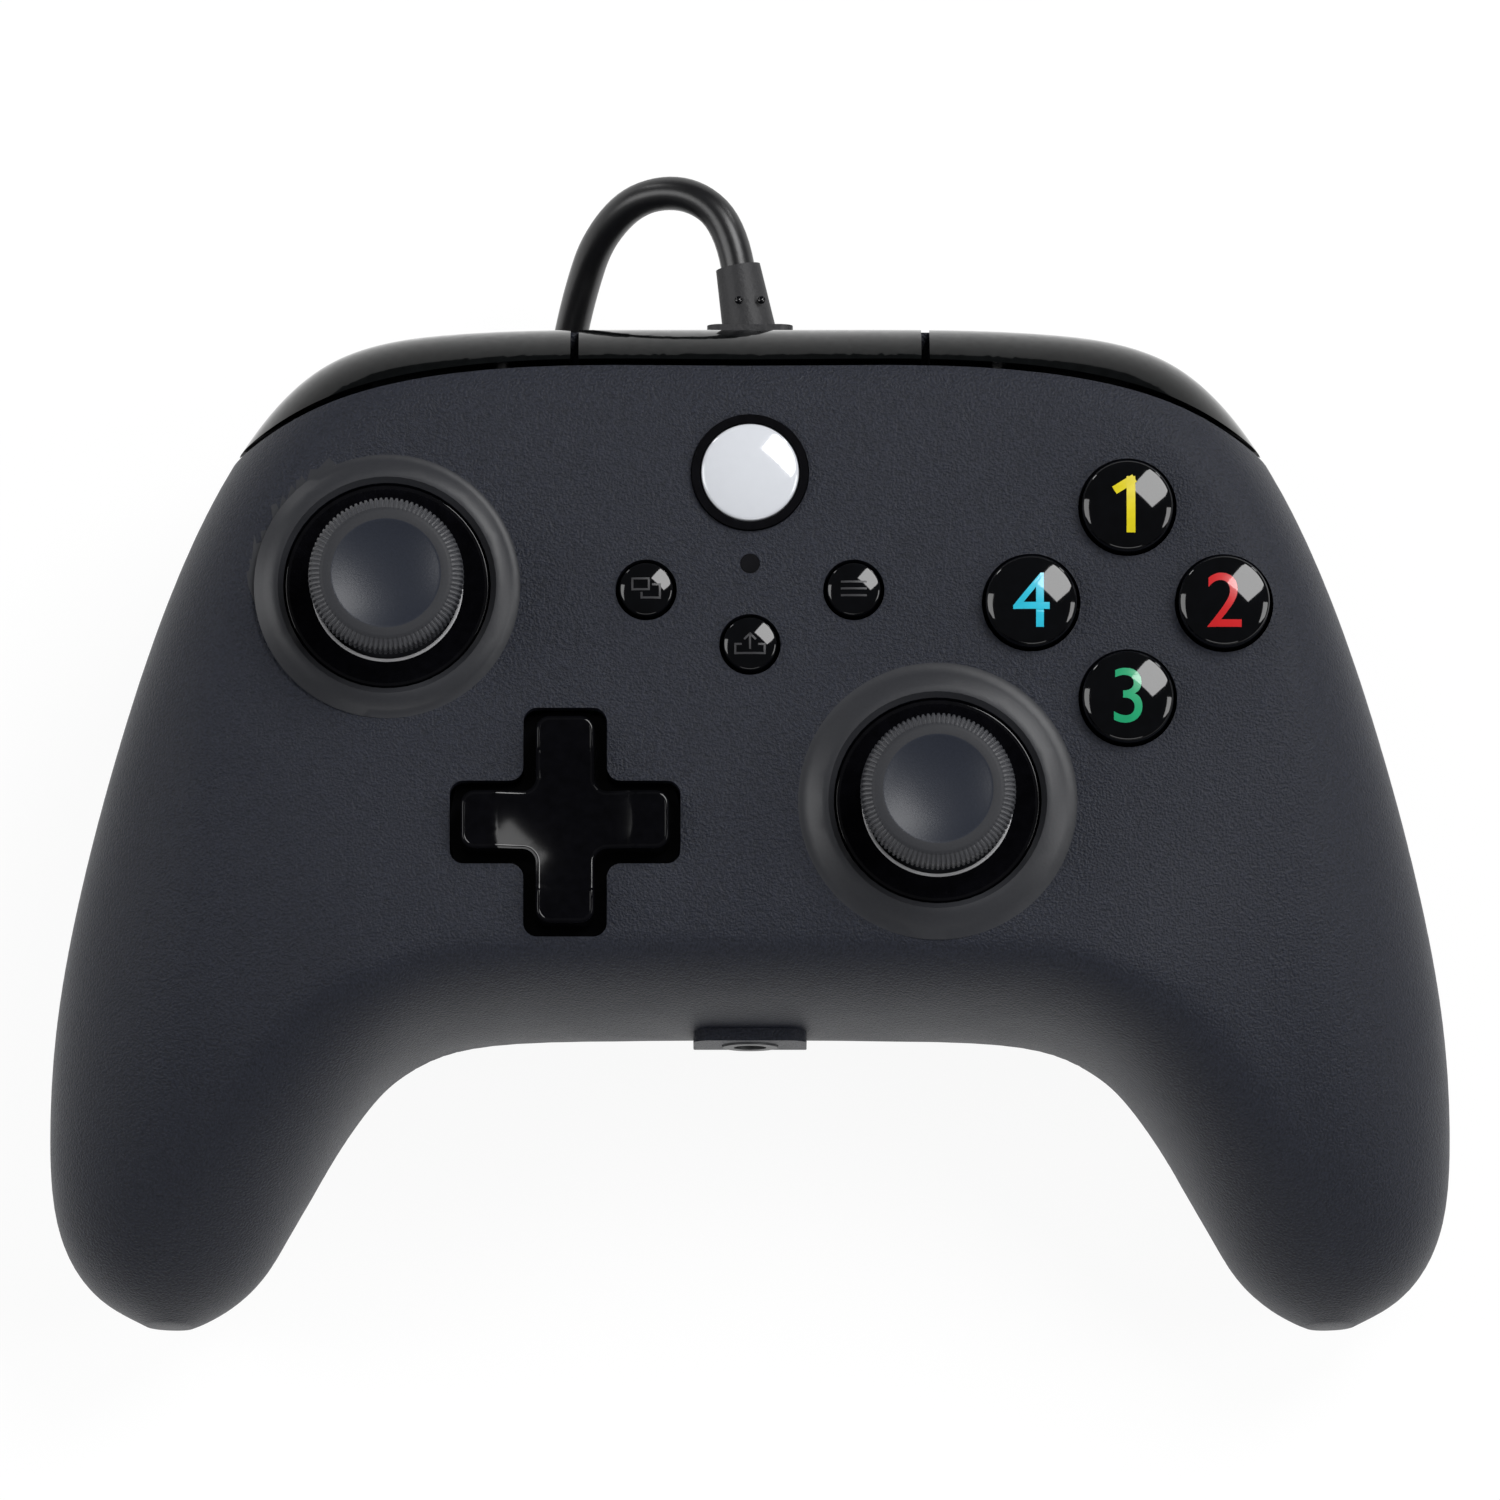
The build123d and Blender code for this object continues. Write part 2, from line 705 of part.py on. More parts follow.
# Bumpers and the bridge between them
bumper_ring = (outer - under) & rear_region(rim_gap, parting_height, top_end)
put("bumper_bridge", bumper_ring & block(
    -bridge_half_width, bridge_half_width, 0, far_y, parting_height, top_end))
for name, side in (("left", -1), ("right", 1)):
    bumper = bumper_ring & sided_block(
        side, bumper_inner_x, far_x, 0, far_y, parting_height + part_gap, top_end)
    put(f"{name}_bumper", bumper - rod(
        side * bumper_pin_x, bumper_pin_y, parting_height, bumper_pin_top + part_gap,
        bumper_pin_radius + bumper_pin_clearance))

# Triggers
plan_points = [plan_point(row[1], 0) for row in slice_shares[:8]]


def silhouette(inset, side):
    """The plan of the far right or far left shoulder, moved in by a gap."""
    points = [Vector(side * (point.X - inset), point.Y - inset, -overrun) for point in plan_points]
    curve = Edge.make_spline(points)
    rest = Wire.make_polygon([points[-1], Vector(0, points[-1].Y, -overrun), points[0]], close=False)
    return Solid.extrude(Face(Wire([curve] + rest.edges())), Vector(0, 0, overrun + parting_height))


def trigger_block(inset, side):
    """The trigger's side view, drawn in by a wall and carried along X."""
    front = [Vector(side * trigger_inner_x, y - inset, z) for y, z in trigger_front]
    back = [Vector(side * trigger_inner_x, y, z) for y, z in trigger_back]
    rest = Wire.make_polygon([front[-1]] + back + [front[0]], close=False)
    outline = Wire([Edge.make_spline(front)] + rest.edges())
    return Solid.extrude(Face(outline), Vector(side * (trigger_outer_x - trigger_inner_x), 0, 0))


def trigger_outline(side):
    """Everything within the trigger's outline as seen from behind, with its two rounded lower corners."""
    low = trigger_back[0][1]
    inner = trigger_inner_x
    outer = trigger_outer_x

    def spot(x, z):
        return Vector(side * x, 0, z)

    inner_start = spot(inner, low + trigger_inner_corner)
    inner_end = spot(inner + trigger_inner_corner, low)
    outer_start = spot(outer - trigger_outer_corner, low)
    outer_end = spot(outer, low + trigger_outer_corner)
    straight = [outer_end, spot(outer, trigger_top), spot(inner, trigger_top), inner_start]
    edges = [
        Edge.make_bezier(inner_start, spot(inner, low), inner_end), Edge.make_line(inner_end, outer_start),
        Edge.make_bezier(outer_start, spot(outer, low), outer_end),
    ]
    edges += Wire.make_polygon(straight, close=False).edges()
    return Solid.extrude(Face(Wire(edges)), Vector(0, far_y, 0))


for name, side in (("left", -1), ("right", 1)):
    body = trigger_block(0, side) & silhouette(trigger_side_gap, side)
    body = body & trigger_outline(side)
    hollow_front = [(y - trigger_wall, z) for y, z in trigger_front]
    hollow_points = [(hollow_front[0][0], trigger_top + overrun)] + hollow_front[:-1]
    hollow_points = hollow_points + [(trigger_back[2][0] + trigger_wall, trigger_back[2][1] + trigger_wall)]
    hollow_points = hollow_points + [(trigger_back[4][0] - overrun, trigger_back[3][1])]
    hollow_points = hollow_points + [(trigger_back[4][0] - overrun, trigger_top + overrun)]
    hollow_points.reverse()
    wide = slab(hollow_points, side * (trigger_inner_x + trigger_wall), side * trigger_outer_x)
    pocket = wide & silhouette(trigger_side_gap + trigger_wall, side)
    rib = sided_block(side, trigger_rib_x - trigger_wall, trigger_rib_x, 0, half_depth, 0, trigger_top)
    body = body - (pocket - rib)
    body = body - sided_rod_x(
        side, trigger_inner_x - wall, trigger_rib_x + wall, trigger_pin_y, trigger_pin_z,
        trigger_pin_radius + trigger_pin_fit)
    put(f"{name}_trigger", body)

pins = []
springs = []
pin_start_x = bay_inner_x - trigger_pin_seat
for side in (-1, 1):
    pins.append(sided_rod_x(
        side, pin_start_x, trigger_pin_end_x, trigger_pin_y, trigger_pin_z, trigger_pin_radius))
    spring_end_x = spring_start_x + spring_length
    sleeve = sided_rod_x(side, spring_start_x, spring_end_x, trigger_pin_y, trigger_pin_z, spring_radius)
    leg = sided_block(
        side, spring_start_x, spring_start_x + spring_wire, bay_front_y + part_gap / 2, trigger_pin_y,
        trigger_pin_z - spring_radius, trigger_pin_z - spring_radius + spring_wire)
    springs.append(sleeve + leg - sided_rod_x(
        side, spring_start_x - wall, spring_end_x + wall, trigger_pin_y, trigger_pin_z, spring_bore_radius))
put("trigger_pins", Compound(pins))
put("trigger_springs", Compound(springs))

# Thumbsticks: ring insert, cap with its dome, stem, pivot block, two yokes, case, sensors and click switch
for name, x, y, crater_radius in sticks():
    pivot = stick_pivot_height
    gap_radius = dome_radius + dome_gap
    flange_top = skin_under - seat_gap
    flange_bottom = flange_top - bezel_flange_thickness
    bore_z = pivot + sqrt(gap_radius ** 2 - bezel_bore_radius ** 2)
    mid_radius = (bezel_bore_radius + gap_radius) / 2
    mid_z = pivot + sqrt(gap_radius ** 2 - mid_radius ** 2)
    foot_radius = sqrt(gap_radius ** 2 - (flange_bottom - pivot) ** 2)
    bezel = turned(
        [
            (bezel_bore_radius, bore_z), (bezel_bore_radius, face_height - bezel_inner_drop),
            (bezel_radius, face_height + bezel_rim_rise), (bezel_radius, flange_top),
            (bezel_radius + bezel_flange, flange_top), (bezel_radius + bezel_flange, flange_bottom),
            (foot_radius, flange_bottom), (mid_radius, mid_z),
        ], x, y)
    bezel = bezel - Solid.make_sphere(gap_radius, Plane(origin=(x, y, pivot)), angle1=-90, angle2=90)
    put(f"{name}_stick_ring", bezel)

    cap_bottom = stick_top_height - cap_thickness
    dish_middle_radius = cap_dish_radius * cap_dish_middle_shares[0]
    dish_middle_z = stick_top_height - cap_dish_depth * cap_dish_middle_shares[1]
    cap = turned(
        [
            (0, pivot + dome_radius - dome_wall), (0, stick_top_height - cap_dish_depth),
            (dish_middle_radius, dish_middle_z), (cap_dish_radius, stick_top_height),
            (cap_radius - cap_edge, stick_top_height), (cap_radius, stick_top_height - cap_edge),
            (cap_radius, cap_bottom + cap_edge), (cap_radius - cap_edge, cap_bottom),
            (neck_radius, cap_bottom), (neck_radius, pivot + dome_radius - dome_wall),
        ], x, y)
    ball = Solid.make_sphere(dome_radius, Plane(origin=(x, y, pivot)), angle1=0, angle2=90)
    ball = ball - Solid.make_sphere(dome_radius - dome_wall, Plane(origin=(x, y, pivot)), angle1=0, angle2=90)
    skirt_z = pivot + dome_radius * cos(radians(dome_half_angle))
    ball = ball - block(x - overrun, x + overrun, y - overrun, y + overrun, pivot - overrun, skirt_z)
    cap = cap + ball
    stem_top = cap_bottom - wall
    socket = rod(x, y, pivot, stem_top + stem_clearance, stem_radius + stem_clearance)
    collar = rod(x, y, case_top_height + wall, pivot + dome_radius, neck_radius)
    cap = cap + collar - socket
    put(f"{name}_stick_cap", cap)

    board = main_board_top
    foot_z = board + switch_height + click_travel + stem_foot_gap
    put(f"{name}_stick_stem", rod(x, y, foot_z, stem_top, stem_radius))
    half_block = pivot_block_width / 2
    ring_inner = half_block + ring_gap
    ring_outer = ring_inner + ring_thickness
    pivot_block = block(
        x - half_block, x + half_block, y - half_block, y + half_block, pivot - pivot_block_height / 2,
        pivot + pivot_block_height / 2)
    pivot_block = pivot_block + rod_y(x, y - ring_outer, y + ring_outer, pivot, trunnion_radius)
    pivot_block = pivot_block - rod(x, y, board, stem_top, stem_radius + stem_clearance)
    put(f"{name}_stick_pivot", pivot_block)

    half_case = case_width / 2
    reach = half_case + sensor_gap + sensor_thickness / 2
    ring = block(
        x - ring_outer, x + ring_outer, y - ring_outer, y + ring_outer, pivot - ring_height / 2,
        pivot + ring_height / 2)
    ring = ring + rod_x(x - half_case, x + reach, y, pivot, trunnion_radius)
    ring = ring - block(x - ring_inner, x + ring_inner, y - ring_inner, y + ring_inner, board, face_height)
    ring = ring - rod_y(x, y - half_case, y + half_case, pivot, trunnion_radius + trunnion_clearance)
    put(f"{name}_stick_ring_yoke", ring)

    leg_outer = half_case - case_wall - slide_yoke_gap
    leg_inner = leg_outer - slide_yoke_leg
    yoke_bottom = pivot - slide_yoke_drop - slide_yoke_thickness
    half_yoke = slide_yoke_width / 2
    leg_top = pivot + trunnion_radius + trunnion_clearance * 2
    yoke = block(x - half_yoke, x + half_yoke, y - leg_outer, y + leg_outer, yoke_bottom, leg_top)
    yoke_floor = yoke_bottom + slide_yoke_thickness
    yoke = yoke - block(
        x - half_case, x + half_case, y - leg_inner, y + leg_inner, yoke_floor, face_height)
    yoke = yoke + [
        rod_y(x, y - reach, y - leg_inner, pivot, trunnion_radius),
        rod_y(x, y + leg_inner, y + half_case, pivot, trunnion_radius),
    ]
    slot_half = stem_radius + slide_yoke_slot_clearance
    yoke = yoke - block(
        x - slot_half, x + slot_half, y - slide_yoke_slot_half, y + slide_yoke_slot_half, board, pivot)
    put(f"{name}_stick_slide_yoke", yoke)

    case = block(x - half_case, x + half_case, y - half_case, y + half_case, board, case_top_height)
    case = case & rod(x, y, board, case_top_height, case_corner_radius)
    inside = half_case - case_wall
    mouth = case_mouth_width / 2
    hole_radius = trunnion_radius + trunnion_clearance
    case = case - [
        block(x - inside, x + inside, y - inside, y + inside, board, case_top_height - case_wall),
        block(x - mouth, x + mouth, y - mouth, y + mouth, board, face_height),
        rod_x(x - half_case, x + half_case, y, pivot, hole_radius),
        rod_y(x, y - half_case, y + half_case, pivot, hole_radius),
    ]
    put(f"{name}_stick_case", case)

    near = half_case + sensor_gap
    far = near + sensor_thickness
    half_sensor = sensor_width / 2
    side_sensor = block(x + near, x + far, y - half_sensor, y + half_sensor, board, sensor_top)
    near_sensor = block(x - half_sensor, x + half_sensor, y - far, y - near, board, sensor_top)
    put(f"{name}_stick_sensors", Compound([
        side_sensor - rod_x(x, x + reach, y, pivot, hole_radius),
        near_sensor - rod_y(x, y - reach, y, pivot, hole_radius),
    ]))
    half_switch = switch_width / 2
    put(f"{name}_stick_switch", block(
        x - half_switch, x + half_switch, y - half_switch, y + half_switch, board, board + switch_height))

# Buttons of the face
for name, x, y in action_places():
    put(f"{name}_button", crowned_button(
        x, y, action_radius, action_flange_radius, action_flange_top, action_height, action_crown))
small_flange_top = skin_under - seat_gap
for name, x, y in small_places():
    put(f"{name}_button", crowned_button(
        x, y, small_radius, small_flange_radius, small_flange_top, small_height, small_crown))

ring_flange_bottom = skin_under - seat_gap - flange_thickness
lens_bore = home_lens_radius + home_lens_gap
home_ring = turned(
    [
        (lens_bore, ring_flange_bottom), (lens_bore, face_height + home_ring_rise),
        (home_ring_radius, face_height + home_ring_rise), (home_ring_radius, skin_under - seat_gap),
        (home_ring_flange_radius, skin_under - seat_gap), (home_ring_flange_radius, ring_flange_bottom),
    ], 0, home_y)
put("home_ring", home_ring)
home_flange_top = ring_flange_bottom - seat_gap
put("home_button", crowned_button(
    0, home_y, home_lens_radius, home_flange_radius, home_flange_top, face_height + home_ring_rise,
    home_lens_crown))
status_lens = rod(0, status_y, skin_under - seat_gap - flange_thickness, face_height, status_radius)
status_lens = status_lens + rod(
    0, status_y, skin_under - seat_gap - flange_thickness, skin_under - seat_gap, status_flange_radius)
put("status_lens", status_lens)

# Direction pad on its rocker
pad_bottom = pad_flange_top - pad_flange_thickness
pad = cross(pad_x, pad_y, pad_span, pad_arm_width, pad_corner, pad_bottom, pad_height)
pad_dish = Solid.make_sphere(
    pad_dish_radius, Plane(origin=(pad_x, pad_y, pad_height - pad_dish_depth + pad_dish_radius)), angle1=-90,
    angle2=90)
pad_pivot = Plane(origin=(pad_x, pad_y, pad_pivot_height))
pad = pad - pad_dish + rod(pad_x, pad_y, pad_bottom, pad_flange_top, pad_flange_radius)
pad = pad - Solid.make_sphere(pad_ball_radius + pad_ball_clearance, pad_pivot, angle1=-90, angle2=90)
put("direction_pad", pad)
rocker = rod(pad_x, pad_y, pad_rocker_top - pad_rocker_thickness, pad_rocker_top, pad_rocker_radius)
rocker = rocker + Solid.make_sphere(pad_ball_radius, pad_pivot, angle1=-90, angle2=90)
put("direction_pad_rocker", rocker)

# Button board, hung under the face, and the rubber keypads on it
board_holes = [
    rod(x, y, main_board_top, face_height, board_hole_radius) for name, x, y, crater_radius in sticks()
]
for x, y, seat_z, column_top in both_ways(shell_screw_places):
    board_holes.append(rod(x, y, main_board_top, face_height, screw_post_radius + part_gap))
board_screws = []
screw_hole = board_screw_radius + screw_fit
button_board_plan = mirrored_plan(button_board_half_plan)
button_board = plate(button_board_plan, button_board_top - board_thickness, button_board_top)
for x, y in button_post_places:
    board_holes.append(rod(x, y, main_board_top, face_height, screw_hole))
    head_top = button_board_top - board_thickness
    screw = rod(x, y, head_top - board_screw_head, head_top, board_screw_head_radius)
    board_screws.append(screw + rod(x, y, head_top, head_top + board_screw_length, board_screw_radius))
button_board = button_board - board_holes
put("button_board", button_board)

keypad_top = button_board_top + keypad_thickness
pad_keypad = rod(pad_x, pad_y, button_board_top, keypad_top, pad_keypad_radius)
for along_x, along_y in ((1, 0), (0, 1), (-1, 0), (0, -1)):
    pad_keypad = pad_keypad + cone(
        pad_x + pad_dome_pitch_radius * along_x, pad_y + pad_dome_pitch_radius * along_y, keypad_top,
        pad_dome_top, pad_dome_radius, pad_dome_tip_radius)
rocker_rest = pad_pivot_height - pad_ball_radius - seat_gap
pad_keypad = pad_keypad + rod(pad_x, pad_y, keypad_top, rocker_rest, pad_post_radius)
put("direction_keypad", pad_keypad)

action_dome_top = action_flange_top - flange_thickness - action_travel - dome_rest
action_keypad = rod(action_x, action_y, button_board_top, keypad_top, action_keypad_radius)
action_keypad = action_keypad & plate(button_board_plan, button_board_top, keypad_top)
action_keypad = action_keypad + [
    cone(x, y, keypad_top, action_dome_top, dome_base_radius, dome_tip_radius)
    for name, x, y in action_places()
]
put("action_keypad", action_keypad)

small_dome_top = small_flange_top - flange_thickness - small_travel - dome_rest
home_dome_top = home_flange_top - flange_thickness - small_travel - dome_rest
half_keypad = centre_keypad_width / 2
keypad_near_y = centre_keypad_y - centre_keypad_depth / 2
keypad_far_y = keypad_near_y + centre_keypad_depth
centre_keypad = block(-half_keypad, half_keypad, keypad_near_y, keypad_far_y, button_board_top, keypad_top)
centre_keypad = centre_keypad + [
    cone(x, y, keypad_top, small_dome_top, small_dome_base_radius, small_dome_tip_radius)
    for name, x, y in small_places()
]
centre_keypad = centre_keypad + cone(0, home_y, keypad_top, home_dome_top, dome_base_radius, dome_tip_radius)
centre_keypad = centre_keypad + rod(
    0, status_y, keypad_top, skin_under - seat_gap * 2 - flange_thickness, status_radius)
put("centre_keypad", centre_keypad)

# Main board on its posts
main_board = plate(mirrored_plan(main_board_half_plan), main_board_top - board_thickness, main_board_top)
main_holes = []
for x, y in main_post_places:
    main_holes.append(rod(x, y, hollow_floor, face_height, screw_hole))
    head = rod(x, y, main_board_top, main_board_top + board_screw_head, board_screw_head_radius)
    shank = rod(x, y, main_board_top - board_screw_length, main_board_top, board_screw_radius)
    board_screws.append(head + shank)
put("main_board", main_board - main_holes)
put("board_screws", Compound(board_screws))

# Shell screws
shell_screws = []
for x, y, seat_z, column_top in both_ways(shell_screw_places):
    screw = rod(x, y, seat_z - screw_head_height, seat_z, screw_head_radius)
    length = min(screw_length, column_top - seat_z - part_gap)
    shell_screws.append(screw + rod(x, y, seat_z, seat_z + length, screw_radius))
put("shell_screws", Compound(shell_screws))

# Rumble motors and their off-centre weights
for name, side, radius in (("left", -1, left_motor_radius), ("right", 1, right_motor_radius)):
    x = side * motor_x
    motor_rear_y = motor_front_y + motor_length
    weight_y = motor_rear_y + weight_gap
    shaft_start_y = motor_rear_y - motor_shaft_depth
    motor = rod_y(x, motor_front_y, motor_rear_y, motor_z, radius)
    motor = motor - rod_y(x, shaft_start_y, motor_rear_y, motor_z, motor_shaft_radius + weight_fit)
    put(f"{name}_rumble_motor", motor)
    weight = rod_y(x, weight_y, weight_y + weight_thickness, motor_z, radius - weight_inset)
    weight = weight - block(
        x - radius * 2, x + radius * 2, weight_y - wall, weight_y + weight_thickness + wall, motor_z,
        motor_z + radius * 2)
    weight = weight + rod_y(x, weight_y, weight_y + weight_thickness, motor_z, weight_hub_radius)
    weight = weight + rod_y(
        x, shaft_start_y + weight_fit, weight_y + weight_thickness, motor_z, motor_shaft_radius)
    put(f"{name}_rumble_weight", weight)

# Headset jack
jack_body_y = jack_face_y + jack_nose_length
jack = block(
    -jack_width / 2, jack_width / 2, jack_body_y, jack_body_y + jack_length, jack_z - jack_height / 2,
    jack_z + jack_height / 2)
jack = jack + rod_y(0, jack_face_y, jack_face_y + jack_nose_length + wall, jack_z, jack_nose_radius)
jack = jack - rod_y(
    0, jack_face_y - overrun, jack_face_y + jack_bore_length, jack_z, jack_bore_radius)
put("headset_jack", jack)

# Cord boot, socket, cord, coil, ties and plug
boot = block(
    -boot_flange_width / 2, boot_flange_width / 2, flange_seat_y, flange_seat_y + boot_flange_depth,
    cord_z - boot_flange_height / 2, cord_z + boot_flange_height / 2)
boot = boot.fillet(boot_flange_corner, boot.edges().filter_by(Axis.Y))
boot_start = flange_seat_y + boot_flange_depth - boot_lean_seat
lean = Vector(-sin(radians(boot_lean)), cos(radians(boot_lean)), 0)
boot = boot + Solid.make_cone(
    boot_base_radius, boot_tip_radius, boot_length, Plane(origin=(0, boot_start, cord_z), z_dir=lean))
boot = boot + rod_y(0, nose_upper_y - boot_inner_gap, flange_seat_y, cord_z, boot_neck_radius)
boot = boot + rod_y(
    0, nose_upper_y - boot_inner_gap - boot_inner_thickness, nose_upper_y - boot_inner_gap, cord_z,
    boot_inner_radius)
put("cord_boot", boot)
put("cord_socket", block(
    -socket_width / 2, socket_width / 2, socket_rear_y - socket_depth, socket_rear_y,
    main_board_top - board_thickness - socket_height, main_board_top - board_thickness))


def bend_radii(route):
    """Each bend as wide as the two runs beside it allow."""
    radii = []
    for before, here, after in zip(route, route[1:], route[2:]):
        run_in = Vector(*here) - Vector(*before)
        run_out = Vector(*after) - Vector(*here)
        turn = radians(run_in.get_angle(run_out))
        radii.append(bend_share * min(run_in.length, run_out.length) / tan(turn / 2))
    return radii


def lead(route):
    """A round cord along straight runs joined by arcs."""
    radii = bend_radii(route)
    path = FilletPolyline(*route, radius=radii)
    start = Plane(origin=path @ 0, z_dir=path % 0)
    tube = sweep(start * Circle(cord_radius), path=path)
    solid = tube.solids()[0]
    print("cord length", round(path.length, 1), "radii", [round(radius, 1) for radius in radii])
    print("volume over section times length", round(solid.volume / (pi * cord_radius ** 2 * path.length), 4))
    return solid


def coil_stops():
    """Where each half turn of the coil starts: side, distance from the middle, height."""
    stops = []
    radius = coil_radius
    side = -1
    way = -1
    for layer in range(coil_layers):
        height = coil_height_above_table + layer * coil_layer_pitch
        stops.append((side * radius, height))
        for turn in range(half_turns_per_layer):
            at_end = turn in (0, half_turns_per_layer - 1)
            radius = radius + way * (coil_end_step if at_end else coil_pitch / 2)
            side = -side
            stops.append((side * radius, height))
        side = -side
        way = -way
    return stops


def coil_path():
    """Half turns that spiral in and out and climb a layer in the half turn between."""
    stops = coil_stops()
    edges = []
    first = Vector(coil_x + stops[0][0], coil_y, stops[0][1])
    edges.append(Edge.make_line(first + Vector(0, stub_length, 0), first))
    for (x_from, z_from), (x_to, z_to) in zip(stops, stops[1:]):
        start = Vector(coil_x + x_from, coil_y, z_from)
        end = Vector(coil_x + x_to, coil_y, z_to)
        way = 1 if x_from > x_to else -1
        top = (start + end) / 2 + Vector(0, way * (end - start).length / 2, 0)
        edges.append(Edge.make_three_point_arc(start, top, end))
    last = Vector(coil_x + stops[-1][0], coil_y, stops[-1][1])
    edges.append(Edge.make_line(last, last + Vector(0, stub_length, 0)))
    return Wire(edges)


def least_gap(path):
    """The least clear distance between neighbouring turns, measured on points of the path."""
    count = 900
    points = [path @ (number / count) for number in range(count + 1)]
    apart = int(count * 2 * cord_diameter / path.length) + 2
    least = path.length
    for number, point in enumerate(points):
        for other in points[number + apart:]:
            least = min(least, (other - point).length)
    return least - cord_diameter


winding = coil_path()
winding_start = Plane(origin=winding @ 0, z_dir=winding % 0, x_dir=(0, 0, 1))
coil = sweep(winding_start * RegularPolygon(cord_radius, cord_sides), path=winding).solids()[0]
print("coil length", round(winding.length, 1), "least gap", round(least_gap(winding), 2))
put("cord_coil", coil)
put("cord_lead", lead(cord_route))
put("cord_plug_end", lead(plug_route))
ties = []
coil_inner = coil_radius - (half_turns_per_layer - 2) * coil_pitch / 2 - coil_end_step * 2
coil_top = coil_height_above_table + (coil_layers - 1) * coil_layer_pitch + cord_radius
for side in (-1, 1):
    near_y = coil_inner - cord_radius - tie_inner_gap
    far_y = coil_radius + cord_radius + tie_gap
    low_z = coil_height_above_table - cord_radius - tie_gap
    high_z = coil_top + tie_gap
    outside = block(
        coil_x - tie_width / 2, coil_x + tie_width / 2,
        min(coil_y + side * (near_y - tie_thickness), coil_y + side * (far_y + tie_thickness)),
        max(coil_y + side * (near_y - tie_thickness), coil_y + side * (far_y + tie_thickness)),
        low_z - tie_thickness, high_z + tie_thickness)
    opening = block(
        coil_x - tie_width, coil_x + tie_width, min(coil_y + side * near_y, coil_y + side * far_y),
        max(coil_y + side * near_y, coil_y + side * far_y), low_z, high_z)
    ties.append(outside - opening)
put("cord_ties", Compound(ties))

plug_x = plug_route[-1][0]
plug_y = plug_route[-1][1]
plug_z = plug_route[-1][2]
overmould = block(
    plug_x - overmould_width / 2, plug_x + overmould_width / 2, plug_y - overmould_length, plug_y,
    plug_z - overmould_height / 2, plug_z + overmould_height / 2)
put("plug_overmould", overmould.fillet(overmould_corner, overmould.edges().filter_by(Axis.Y)))
shell_end = plug_y - overmould_length
mouth_y = shell_end - plug_length
half_plug = plug_width / 2
half_inside = half_plug - plug_wall
inside_top = plug_z + plug_height / 2 - plug_wall
plug_shell = block(
    plug_x - half_plug, plug_x + half_plug, mouth_y, shell_end, plug_z - plug_height / 2,
    plug_z + plug_height / 2)
plug_shell = plug_shell - block(
    plug_x - half_inside, plug_x + half_inside, mouth_y, shell_end - plug_back,
    plug_z - plug_height / 2 + plug_wall, inside_top)
plug_shell = plug_shell + block(
    plug_x - half_inside, plug_x + half_inside, mouth_y + plug_wall, shell_end - plug_back, plug_z,
    inside_top)
put("usb_plug", plug_shell)

# Switches that the bumpers press
half_switch_width = bumper_switch_width / 2
put("bumper_switches", Compound([
    block(
        side * bumper_switch_x - half_switch_width, side * bumper_switch_x + half_switch_width,
        bumper_switch_y - bumper_switch_depth, bumper_switch_y, bumper_switch_z,
        bumper_switch_z + bumper_switch_height)
    for side in (-1, 1)
]))

for name, shape in named.items():
    export_step(shape, f"parts/{name}.step")
print(len(named), "pieces")
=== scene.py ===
import bmesh
import bpy
import json
import math
import numpy as np
from mathutils import Matrix, Vector, kdtree


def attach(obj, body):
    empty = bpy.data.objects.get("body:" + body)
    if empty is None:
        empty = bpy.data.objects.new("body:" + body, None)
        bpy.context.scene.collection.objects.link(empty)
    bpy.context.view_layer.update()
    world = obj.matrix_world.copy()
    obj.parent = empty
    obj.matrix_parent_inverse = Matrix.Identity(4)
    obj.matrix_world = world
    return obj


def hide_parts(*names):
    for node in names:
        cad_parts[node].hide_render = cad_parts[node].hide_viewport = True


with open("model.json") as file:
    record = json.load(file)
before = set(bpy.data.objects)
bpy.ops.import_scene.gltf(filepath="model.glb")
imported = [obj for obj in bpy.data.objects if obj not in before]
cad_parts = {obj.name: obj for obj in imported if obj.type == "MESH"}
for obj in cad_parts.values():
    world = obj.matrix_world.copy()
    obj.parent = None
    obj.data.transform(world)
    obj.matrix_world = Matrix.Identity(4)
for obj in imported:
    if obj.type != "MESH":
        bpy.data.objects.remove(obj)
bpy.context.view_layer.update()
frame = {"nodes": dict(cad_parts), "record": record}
scene = bpy.context.scene
MM = 0.001

# Camera: from above, leaning eight degrees towards the user, far away
target = Vector((0.0, 5.5, 51.5)) * MM
view_width = 163.1
lean = math.radians(8.0)
sight = Vector((0, -math.sin(lean), math.cos(lean)))
camera_data = bpy.data.cameras.new("camera")
camera_data.sensor_width = 36.0
camera_data.lens = 600.0
camera = bpy.data.objects.new("camera", camera_data)
scene.collection.objects.link(camera)
camera.location = target + sight * (view_width * MM * camera_data.lens / camera_data.sensor_width)
across_view = Vector((0, 1, 0)).cross(sight).normalized()
camera.rotation_euler = Matrix((across_view, sight.cross(across_view), sight)).transposed().to_euler()
camera_data.clip_start = 0.05
camera_data.clip_end = 20.0
scene.camera = camera
scene.view_settings.view_transform = "Standard"


# Materials
def new_material(name):
    made = bpy.data.materials.new(name)
    made.use_nodes = True
    tree = made.node_tree
    shader = tree.nodes["Principled BSDF"]
    place = tree.nodes.new("ShaderNodeTexCoord")
    return made, tree, shader, place


